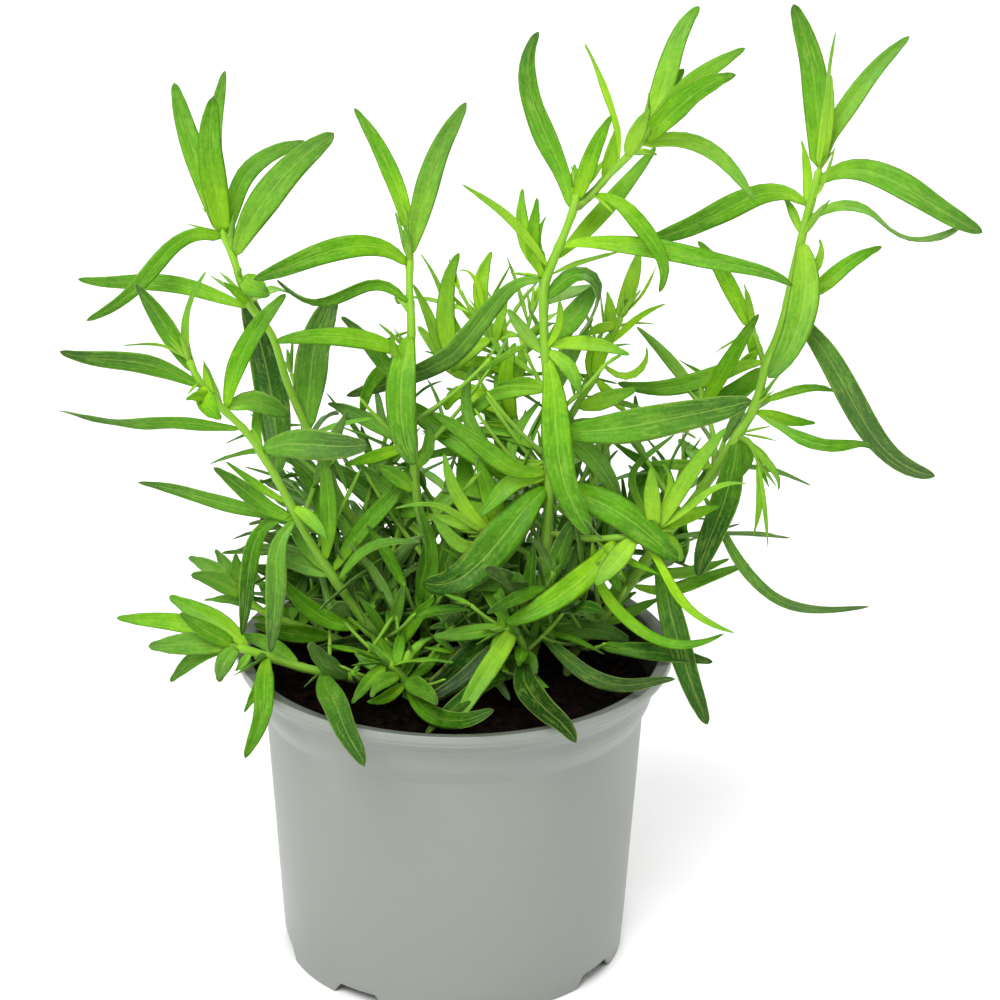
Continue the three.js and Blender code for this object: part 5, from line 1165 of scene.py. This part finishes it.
# %% Group: lengthwise fibres
BROAD_CELLS, STREAK_PULL, STREAK_DRIFT = 160.0, 0.14, 3.0
FIBRE_BAND, FURROW_BAND, FIBRE_HEIGHT = (0.52, 0.68), (0.48, 0.32), 0.5
fibres, taken, given = group_of("plant fibres", {"Count": 10.0, "Length": 50.0, "Mottle": 600.0},
                                ("Fibre", "Furrow", "Mottling", "Height"))
across, share = place_on_blade(fibres)
mottle = noise_of(fibres, place_in(fibres), taken["Mottle"])
broad = noise_of(fibres, place_in(fibres), BROAD_CELLS, 2.0)
drawn_out = put(fibres, "ShaderNodeCombineXYZ", {
    0: times(fibres, across, taken["Count"]),
    1: times(fibres, times(fibres, share, taken["Length"]), STREAK_PULL),
    2: times(fibres, broad, STREAK_DRIFT)}).outputs[0]
streak = noise_of(fibres, drawn_out, 1.0, 2.0)
fibre = rescaled(fibres, streak, *FIBRE_BAND)
join(fibres, given, {"Fibre": fibre, "Furrow": rescaled(fibres, streak, *FURROW_BAND),
                     "Mottling": times(fibres, plus(fibres, mottle, broad), 0.5),
                     "Height": plus(fibres, times(fibres, fibre, FIBRE_HEIGHT), mottle)})

# %% [markdown]
# ## Side veins
# A wide leaf has faint veins that leave the midrib at a slant. A sine wave along the leaf, set back towards
# the margins and bent by a little noise, gives rows of them.

# %% Group: side veins
BEND_CELLS, BEND, VEIN_BAND = 420.0, 2.4, (0.7, 1.0)
veins, taken, given = group_of("side veins", {"Length": 50.0, "Spacing": 2.2, "Slant": 3.0}, ("Vein",))
across, share = place_on_blade(veins)
off_middle = maths(veins, "ABSOLUTE", less(veins, across, 0.5))
rows = maths(veins, "DIVIDE", times(veins, share, taken["Length"]), taken["Spacing"])
slanted = less(veins, rows, times(veins, off_middle, taken["Slant"]))
bent = plus(veins, slanted, times(veins, noise_of(veins, place_in(veins), BEND_CELLS), BEND))
wave = maths(veins, "SINE", times(veins, bent, 2 * math.pi))
join(veins, given, {"Vein": rescaled(veins, wave, *VEIN_BAND)})

# %% [markdown]
# ## Leaf and stalk
# A young leaf is bright yellow-green and a grown one is deeper. Past old, the green runs on into almost
# black-green:
# that last step is painted shade for leaves low down and in the heart. Each face knows its leaf's age
# together with that painted shade, its length and bloom, and whether it lies underneath, where a leaf is
# paler and duller. The base is the youngest part. The midrib is pale, the margin is dark on a young leaf and
# pale on an old one, and the tip is olive.

# %% Leaf: greens
YOUNG, GROWN = (0.3, 0.59, 0.01), (0.1, 0.32, 0.004)
# SHADED is painted shade: the almost black-green that the darkest values reach.
OLD, SHADED = (0.016, 0.088, 0.002), (0.007, 0.036, 0.003)
LIGHT, DARK, OLIVE = (0.5, 0.7, 0.12), (0.012, 0.05, 0.005), (0.03, 0.055, 0.012)
BLOOM, PALE, PALE_FIBRE = (0.42, 0.56, 0.24), (0.2, 0.38, 0.08), (0.4, 0.52, 0.26)
UNEVENNESS, BASE_AGE, TIP_AGE, BASE_END = 0.65, -0.3, 0.42, 0.4
leaf_green, tree, shader = painted("leaf green")
length = marked(tree, "length")
skin = put(tree, "ShaderNodeGroup", {"Count": 11.0, "Mottle": 700.0, "Length": length}, node_tree=fibres)
net = put(tree, "ShaderNodeGroup", {"Spacing": 2.2, "Slant": 3.4, "Length": length}, node_tree=veins)
across, share = place_on_blade(tree)
uneven = times(tree, less(tree, skin.outputs["Mottling"], 0.5), UNEVENNESS)
lengthwise = plus(tree, rescaled(tree, share, 0, BASE_END, BASE_AGE, 0),
                  rescaled(tree, share, BASE_END, 1, 0, TIP_AGE))
aged = plus(tree, plus(tree, marked(tree, "age"), uneven), lengthwise)
green = blended(tree, rescaled(tree, aged, 0.0, 0.5), YOUNG, GROWN)
green = blended(tree, rescaled(tree, aged, 0.5, 1.0), green, OLD)
# Painted shade: past 1.0 the green runs on into the black-green of SHADED.
green = blended(tree, rescaled(tree, aged, 1.0, 1.4), green, SHADED)

# %% Leaf: fibres with painted highlights, veins, midrib, margin and tip
FIBRE_HIGHLIGHT_TINT, FURROW_TINT, VEIN_TINT, RIB_TINT, MARGIN_TINT = 0.3, 0.35, 0.1, 0.5, 0.7
BLOOM_TINT, PALE_TINT, PALE_FIBRE_TINT = 0.1, 0.3, 0.32
RIB_BAND, MARGIN_BAND, MARGIN_AGES, TIP_BAND = (0.035, 0.008), (0.43, 0.49), (0.5, 0.8), (0.9, 1.0, 0, 0.75)
off_middle = maths(tree, "ABSOLUTE", less(tree, across, 0.5))
rib = rescaled(tree, off_middle, *RIB_BAND)
lighter, darker = blended(tree, 0.5, green, LIGHT), blended(tree, 0.6, green, DARK)
edge = blended(tree, rescaled(tree, aged, *MARGIN_AGES), darker, lighter)
# The fibre streaks are lightened partly as the leaf's own fibres and partly as painted highlights.
for mask, weight, colour in (
        (skin.outputs["Fibre"], FIBRE_HIGHLIGHT_TINT, lighter), (skin.outputs["Furrow"], FURROW_TINT, darker),
        (net.outputs["Vein"], VEIN_TINT, lighter), (rib, RIB_TINT, lighter),
        (rescaled(tree, off_middle, *MARGIN_BAND), MARGIN_TINT, edge)):
    green = tinted(tree, mask, weight, green, colour)
green = blended(tree, rescaled(tree, share, *TIP_BAND), green, OLIVE)
green = tinted(tree, marked(tree, "bloom"), BLOOM_TINT, green, BLOOM)

# %% Leaf: underside, relief and gloss
VEIN_DEPTH, UPPER_ROUGHNESS, LOWER_ROUGHNESS = 0.4, 0.4, 0.6
under = marked(tree, "under")
pale = tinted(tree, skin.outputs["Fibre"], PALE_FIBRE_TINT, blended(tree, PALE_TINT, green, PALE), PALE_FIBRE)
relief = less(tree, less(tree, skin.outputs["Height"], rib), times(tree, net.outputs["Vein"], VEIN_DEPTH))
join(tree, shader, {
    "Base Color": blended(tree, under, green, pale), "Normal": bumped(tree, relief, 0.4, 0.0002),
    "Roughness": rescaled(tree, under, 0, 1, UPPER_ROUGHNESS, LOWER_ROUGHNESS),
    "Specular IOR Level": 0.11, "Sheen Weight": 0.01, "Sheen Roughness": 0.35, "Subsurface Weight": 0.2,
    "Subsurface Radius": (0.6, 1.0, 0.2), "Subsurface Scale": 0.0008})

# %% Stalk
TENDER, WOODY, STALK_FIBRE = (0.23, 0.50, 0.02), (0.17, 0.36, 0.03), (0.42, 0.62, 0.12)
BROWN, BROWN_BAND = (0.14, 0.09, 0.03), (1.38, 1.6, 0, 0.6)
stalk, tree, shader = painted("stalk green")
skin = put(tree, "ShaderNodeGroup", {"Count": 16.0, "Mottle": 500.0, "Length": marked(tree, "length")},
           node_tree=fibres)
age = marked(tree, "age")
green = tinted(tree, skin.outputs["Fibre"], 0.35, blended(tree, age, TENDER, WOODY), STALK_FIBRE)
browned = rescaled(tree, plus(tree, age, skin.outputs["Mottling"]), *BROWN_BAND)
join(tree, shader, {
    "Base Color": blended(tree, browned, green, BROWN), "Roughness": 0.5, "Specular IOR Level": 0.2,
    "Normal": bumped(tree, skin.outputs["Height"], 0.4, 0.0003), "Sheen Weight": 0.08})

# %% [markdown]
# ## The leafy stems
# One piece for each stem that stands in the peat, with its side branches. It takes the place of the solid
# of the same name.

# %% Leafy stems
FOOT_DEPTH = 21.0
TOP_REACH = 5.0
FOOT_AGE, AGE_BY_HEIGHT, AGE_BY_WIDTH, AGE_SPREAD = 0.7, 0.46, 0.04, 0.14
SMALL_WIDTH, SMALL_LENGTH, SMALL_YOUNGER = 2.2, 18, 0.2
BLOOM_BIAS = 1.5


def finished(name, bm, materials, slot, *nodes):
    """Turns a bmesh into a piece that rides on the root body and takes the place of nodes."""
    mesh = bpy.data.meshes.new(name)
    bm.to_mesh(mesh)
    bm.free()
    for material in materials:
        mesh.materials.append(material)
    piece = bpy.data.objects.new(name, mesh)
    bpy.context.scene.collection.objects.link(piece)
    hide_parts(*nodes)
    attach(piece, "root")
    triangles = sum(len(polygon.vertices) - 2 for polygon in mesh.polygons)
    print(f"{name}: {triangles} triangles")


def age_of(sprig, blade, chance):
    """From 0.02, just unfolded, to 1.3, old and in painted shade. High, narrow and small leaves are the young
    ones.
    """
    height = (sheet_height(root_of(blade)) + 10) / 150
    old = FOOT_AGE - AGE_BY_HEIGHT * height + AGE_BY_WIDTH * (blade["width"] - 4) + chance
    if blade["width"] < SMALL_WIDTH and length_of(blade["line"]) < SMALL_LENGTH:
        old -= SMALL_YOUNGER
    return min(max(old + sprig.get("age", 0) + blade.get("tone", 0), 0.02), 1.3)


for node in dict.fromkeys(sprig["node"] for sprig in SPRIGS):
    bm = bmesh.new()
    bm.loops.layers.uv.new("blade")
    for number, (sprig, line, blades) in enumerate(zip(SPRIGS, lines, grown)):
        if sprig["node"] != node:
            continue
        chance, blooming = random.Random(number), random.Random(number + 0.5)
        first = len(bm.faces)
        add_stem(bm, sprig, line, [root_of(blade) for blade in blades])
        bm.faces.ensure_lookup_table()
        for face in bm.faces[first:]:
            face.material_index = 1
        for blade in blades:
            from_tip = np.linalg.norm(root_of(blade) - along(line, 1.0))
            age = age_of(sprig, blade, chance.uniform(-AGE_SPREAD, AGE_SPREAD))
            base = SHEATHING if from_tip < TOP_REACH else STALKED
            add_blade(bm, blade, age, blooming.random() ** BLOOM_BIAS, base, chance)
    finished(node + "_grown", bm, [leaf_green, stalk], "foliage", node)

# %% [markdown]
# ## The pot
# The real pot is one thin moulding: a flared lip, a stacking shoulder, a tapering body and a skirt with
# eight notches. Its half section is a line of a few points. The corners are rounded with a bevel, the line
# is spun once round the axis, and the skirt's lower edge is lifted at each notch. The drain holes are
# drilled through the floor.

# %% Pot: section and notches
POT_STEPS, POT_ROUNDING = 320, 0.25
NOTCHES, NOTCH_FIRST, NOTCH_HALF, NOTCH_RAMP, NOTCH_HEIGHT, NOTCH_EDGE = 8, -34.0, 6.4, 2.6, 3.6, 0.2
SKIRT_TOP, SKIRT_R, FOOT_R, FLOOR_Z = 6.0, 50.6, 48.2, 3.5
SECTION = [
    (0, 0), (14, 0), (16, FLOOR_Z), (48, FLOOR_Z), (49.2, 1.8), (50.2, 0), (51.2, 0), (51.4, 0.6), (51.6, 3),
    (51.9, SKIRT_TOP), (52.3, 11), (54.4, 45), (56.5, 78.2), (57.5, 80.2), (58.8, 82.8), (59.4, 85),
    (59.7, 88.2), (60.4, 90), (62.6, 91.8), (64.4, 93.4), (64.5, 94.2), (65, 94.8), (65, 96.2), (64.7, 97),
    (61, 96.2), (60.4, 95.2), (59.3, 91), (58.4, 87), (57.8, 84), (55.3, 78), (53.2, 45),
    (50.7, 4.7), (15.4, 4.7), (13.4, 1.2), (0, 1.2)]
DRAINS, DRAIN_R, DRAIN_RING_R, DRILL_LENGTH = 8, 3.0, 33.0, 12


def notch_lift(x, y):
    """How far the skirt's edge is lifted at this azimuth."""
    azimuth = math.degrees(math.atan2(x, -y))
    apart = (azimuth - NOTCH_FIRST + 180 / NOTCHES) % (360 / NOTCHES) - 180 / NOTCHES
    off = abs(math.radians(apart)) * math.hypot(x, y)
    return NOTCH_HEIGHT * min(max((NOTCH_HALF + NOTCH_RAMP - off) / NOTCH_RAMP, 0), 1)


def spun(section, steps, rounding):
    """A half section in millimetres, its corners rounded, spun round the axis into a closed skin."""
    bm = bmesh.new()
    verts = [bm.verts.new((radius * MM, 0, z * MM)) for radius, z in section]
    for pair in zip(verts, verts[1:]):
        bm.edges.new(pair)
    bmesh.ops.bevel(bm, geom=verts[1:-1], offset=rounding * MM, offset_type="OFFSET", segments=3,
                    profile=0.5, affect="VERTICES", material=-1)
    bmesh.ops.spin(bm, geom=bm.verts[:] + bm.edges[:], cent=(0, 0, 0), axis=(0, 0, 1),
                   angle=2 * math.pi, steps=steps, use_merge=True)
    bmesh.ops.remove_doubles(bm, verts=bm.verts, dist=1e-6)
    bmesh.ops.recalc_face_normals(bm, faces=bm.faces)
    for face in bm.faces:
        face.smooth = True
    return bm


def cut(bm, cutter):
    """The bmesh less the cutter. Both are used up."""
    held = []
    for source in (bm, cutter):
        mesh = bpy.data.meshes.new("cut")
        source.to_mesh(mesh)
        source.free()
        held.append(bpy.data.objects.new("cut", mesh))
        bpy.context.scene.collection.objects.link(held[-1])
    step = held[0].modifiers.new("cut", "BOOLEAN")
    step.operation, step.solver, step.object = "DIFFERENCE", "EXACT", held[1]
    bpy.context.view_layer.update()
    left = bmesh.new()
    left.from_mesh(held[0].evaluated_get(bpy.context.evaluated_depsgraph_get()).to_mesh())
    for made in held:
        mesh = made.data
        bpy.data.objects.remove(made)
        bpy.data.meshes.remove(mesh)
    return left


# %% Pot: shape
bm = spun(SECTION, POT_STEPS, POT_ROUNDING)
for vert in bm.verts:
    x, y, z = vert.co / MM
    radius = math.hypot(x, y)
    top = SKIRT_TOP if radius > SKIRT_R else FLOOR_Z
    if FOOT_R < radius and z < top:
        lift = min(notch_lift(x, y), top - NOTCH_EDGE)
        vert.co.z = (lift + z * (top - lift) / top) * MM
drills = bmesh.new()
for k in range(DRAINS):
    azimuth = math.radians(NOTCH_FIRST + (k + 0.5) * 360 / DRAINS)
    made = bmesh.ops.create_cone(drills, cap_ends=True, segments=24, radius1=DRAIN_R * MM,
                                 radius2=DRAIN_R * MM, depth=DRILL_LENGTH * MM)["verts"]
    for vert in made:
        vert.co += Vector((DRAIN_RING_R * math.sin(azimuth), -DRAIN_RING_R * math.cos(azimuth), FLOOR_Z)) * MM
bm = cut(bm, drills)

# %% Pot: faces that get painted shade in the mouth and on the lip, and the flat foot
MOUTH_DEPTH, LIP_TOP, LIP_SHADE = 2, 95.5, 0.7
FACING_IN, FACING_UP, FOOT_TOP, FLAT = -0.3, 0.8, 1, 0.9
inner = bm.faces.layers.float.new("inner")
for face in bm.faces:
    centre = face.calc_center_median() / MM
    face.smooth = centre.z > FOOT_TOP or abs(face.normal.z) < FLAT
    outwards = face.normal.dot(Vector((centre.x, centre.y, 0)).normalized())
    # Painted shade: the mouth's inner wall and the lip's top are marked to be painted darker, as the leaves
    # shade them.
    in_mouth = centre.z > SOIL_Z - MOUTH_DEPTH and outwards < FACING_IN
    on_lip = centre.z > LIP_TOP and face.normal.z > FACING_UP
    face[inner] = 1.0 if in_mouth else LIP_SHADE * on_lip
print("pot volume, ml:", round(bm.calc_volume() * 1e6, 1), "faces:", len(bm.faces))

# %% [markdown]
# ## The pot's plastic
# Moulded plastic is even, so its grey only drifts a little and carries a few specks of dust. Inside the mouth
# and on the lip's top it is painted near black as shade, less near the rim. A fine grain and a slow wave in
# the wall soften its shine.

# %% Pot: finish
# SHADE_BLACK is painted shade for the mouth's inner wall and the lip's top; the greys and the dust are the
# plastic's own.
GREY_FROM, GREY_TO, DUST, SHADE_BLACK = (0.228, 0.247, 0.222), (0.251, 0.267, 0.24), (0.16, 0.14, 0.12), (
    0.018, 0.018, 0.014)
DUST_BAND, DUST_TINT, WALL_WAVE = (0.66, 0.74), 0.08, 6.0
SHADE_START_Z, SHADE_FULL_Z, SHADE_BAND = 0.0970, 0.0930, (0.3, 1.2, 0.6, 0.95)
plastic, tree, shader = painted("pot plastic")
place = place_in(tree)
cloud = noise_of(tree, place, 18.0, 2.0)
dust = rescaled(tree, noise_of(tree, place, 420.0), *DUST_BAND)
grey = tinted(tree, dust, DUST_TINT, blended(tree, cloud, GREY_FROM, GREY_TO), DUST)
z = put(tree, "ShaderNodeSeparateXYZ", {0: place}).outputs[2]
# Painted shade: how strongly the marked faces go near black, weaker at the rim's top and patchy with the
# cloud.
shade_weight = rescaled(tree, plus(tree, rescaled(tree, z, SHADE_START_Z, SHADE_FULL_Z), cloud), *SHADE_BAND)
uneven = plus(tree, noise_of(tree, place, 2600.0, 2.0), times(tree, cloud, WALL_WAVE))
join(tree, shader, {
    "Base Color": tinted(tree, marked(tree, "inner"), shade_weight, grey, SHADE_BLACK),
    "Roughness": rescaled(tree, cloud, 0.3, 0.7, 0.34, 0.46), "Normal": bumped(tree, uneven, 0.12, 0.0002)})
finished("pot_moulded", bm, [plastic], "pot_plastic", "pot")

# %% [markdown]
# ## The peat
# The peat is a dark, crumbly mass under the leaves. Its body is spun like the pot, its surface is heaped and
# roughened, and loose crumbs and a few fibres lie half sunk in it.

# %% Peat: the root ball
SOIL_GAP, SOIL_STEPS, SOIL_ROUNDING, SOIL_R, SOIL_RINGS = 0.35, 150, 0.05, 57.2, 46
ROUGH_FROM = 86


def soil_height(x, y):
    radius = math.hypot(x, y)
    wave = 0.6 * math.sin(x * 0.31 + 1) * math.cos(y * 0.27) + 0.4 * math.sin(x * 0.12 - y * 0.19)
    lumps = 1.5 * noise.noise((x * 0.22, y * 0.22, 1)) + 0.9 * noise.noise((x * 0.6, y * 0.6, 5))
    return SOIL_Z - 1 + wave + 0.8 * math.cos(radius / LIP_R * 1.6) + lumps


top_rings = [(radius, SOIL_Z) for radius in np.linspace(SOIL_R - 0.4, 0, SOIL_RINGS).tolist()]
sides = [(radius - SOIL_GAP, z) for radius, z in ((50.7, 5.1), (53.2, 45), (55.3, 78.2), (57.6, 84.4),
                                                  (57.9, 85.4))]
bm = spun([(0, 5.1), *sides, *top_rings], SOIL_STEPS, SOIL_ROUNDING)
for vert in bm.verts:
    if vert.co.z > ROUGH_FROM * MM:
        x, y, _ = vert.co / MM
        vert.co.z = (soil_height(x, y) + 0.5 * noise.noise((x * 1.7, y * 1.7, 9))) * MM

# %% Peat: crumbs and fibres
CRUMBS, CRUMB_EDGE, SMALL_CRUMB, LARGE_CRUMB, SMALL_SHARE = 900, 2.5, (0.5, 1.0), (1.0, 2.1), 0.75
FIBRES, FIBRE_EDGE, FIBRE_LENGTH, FIBRE_TILT, FIBRE_LIFT = 70, 8, (4, 11), (-0.12, 0.2), 0.7


def scatter(reach):
    radius, heading = reach * math.sqrt(rng.random()), rng.uniform(0, 2 * math.pi)
    x, y = radius * math.cos(heading), radius * math.sin(heading)
    return x, y, soil_height(x, y)


for _ in range(CRUMBS):
    x, y, z = scatter(SOIL_R - CRUMB_EDGE)
    size = rng.uniform(*SMALL_CRUMB) if rng.random() < SMALL_SHARE else rng.uniform(*LARGE_CRUMB)
    made = bmesh.ops.create_icosphere(bm, subdivisions=1, radius=size * MM)["verts"]
    for vert in made:
        vert.co *= rng.uniform(0.7, 1.15)
        vert.co.z *= 0.75
        vert.co += Vector((x, y, z + size * 0.2)) * MM
for _ in range(FIBRES):
    x, y, z = scatter(SOIL_R - FIBRE_EDGE)
    heading, length = rng.uniform(0, 2 * math.pi), rng.uniform(*FIBRE_LENGTH)
    made = bmesh.ops.create_cone(bm, cap_ends=True, segments=3, radius1=0.22 * MM, radius2=0.1 * MM,
                                 depth=length * MM)["verts"]
    ahead = Vector((math.cos(heading), math.sin(heading), rng.uniform(*FIBRE_TILT))).normalized()
    turn = ahead.to_track_quat("Z", "Y")
    for vert in made:
        vert.co = turn @ vert.co + Vector((x, y, z + FIBRE_LIFT)) * MM

# %% Peat: finish
# Painted shade in part: the peat's own dark brown is deepened to near black, as shade under the leaves; the
# rusty flecks are its own.
BLACK, DARK_BROWN, RUST = (0.001, 0.0008, 0.0006), (0.012, 0.005, 0.003), (0.10, 0.03, 0.012)
peat, tree, shader = painted("dark peat")
place = place_in(tree)
coarse = noise_of(tree, place, 260.0, 4.0, 0.65)
fine = noise_of(tree, place, 1500.0, 4.0, 0.7)
brown = blended(tree, rescaled(tree, coarse, 0.4, 0.7), BLACK, DARK_BROWN)
join(tree, shader, {
    "Base Color": blended(tree, rescaled(tree, fine, 0.62, 0.72, 0, 0.7), brown, RUST), "Roughness": 0.95,
    "Specular IOR Level": 0.06, "Normal": bumped(tree, plus(tree, coarse, fine), 0.9, 0.0012)})
finished("peat_surface", bm, [peat], "soil", "soil")

# %% [markdown]
# ## Light
# A white floor and an even white surround, with one large soft lamp from the upper left and a weaker one
# behind, give the bright picture of a plant in a shop's catalogue, with dark places only deep between the
# leaves.

# %% Floor, surround and lamps
FLOOR_HALF, FLOOR_WHITE, SURROUND_STRENGTH = 4, (0.93, 0.93, 0.93), 0.57
LAMPS_AIM = Vector((0, 0, 0.15))
floor_mesh = bpy.data.meshes.new("floor")
bm = bmesh.new()
bmesh.ops.create_grid(bm, x_segments=1, y_segments=1, size=FLOOR_HALF)
bm.to_mesh(floor_mesh)
bm.free()
floor = bpy.data.objects.new("floor", floor_mesh)
bpy.context.scene.collection.objects.link(floor)
white, tree, shader = painted("white floor")
join(tree, shader, {"Base Color": FLOOR_WHITE, "Roughness": 0.8})
floor_mesh.materials.append(white)

world = bpy.data.worlds.new("surround")
world.use_nodes = True
join(world.node_tree, world.node_tree.nodes["Background"],
     {"Color": (1, 1, 1), "Strength": SURROUND_STRENGTH})
bpy.context.scene.world = world
bpy.context.scene.view_settings.view_transform = "Standard"


def lamp(name, place, size, power):
    data = bpy.data.lights.new(name, "AREA")
    data.size, data.energy = size, power
    made = bpy.data.objects.new(name, data)
    made.location = place
    made.rotation_mode = "QUATERNION"
    made.rotation_quaternion = (LAMPS_AIM - Vector(place)).to_track_quat("-Z", "Y")
    bpy.context.scene.collection.objects.link(made)


lamp("key", (-0.45, -1.1, 1.6), 1.1, 37)
lamp("back", (0.4, 1.2, 1.6), 0.9, 20)
print("floor, surround and lamps:", ", ".join(light.name for light in bpy.data.lights))
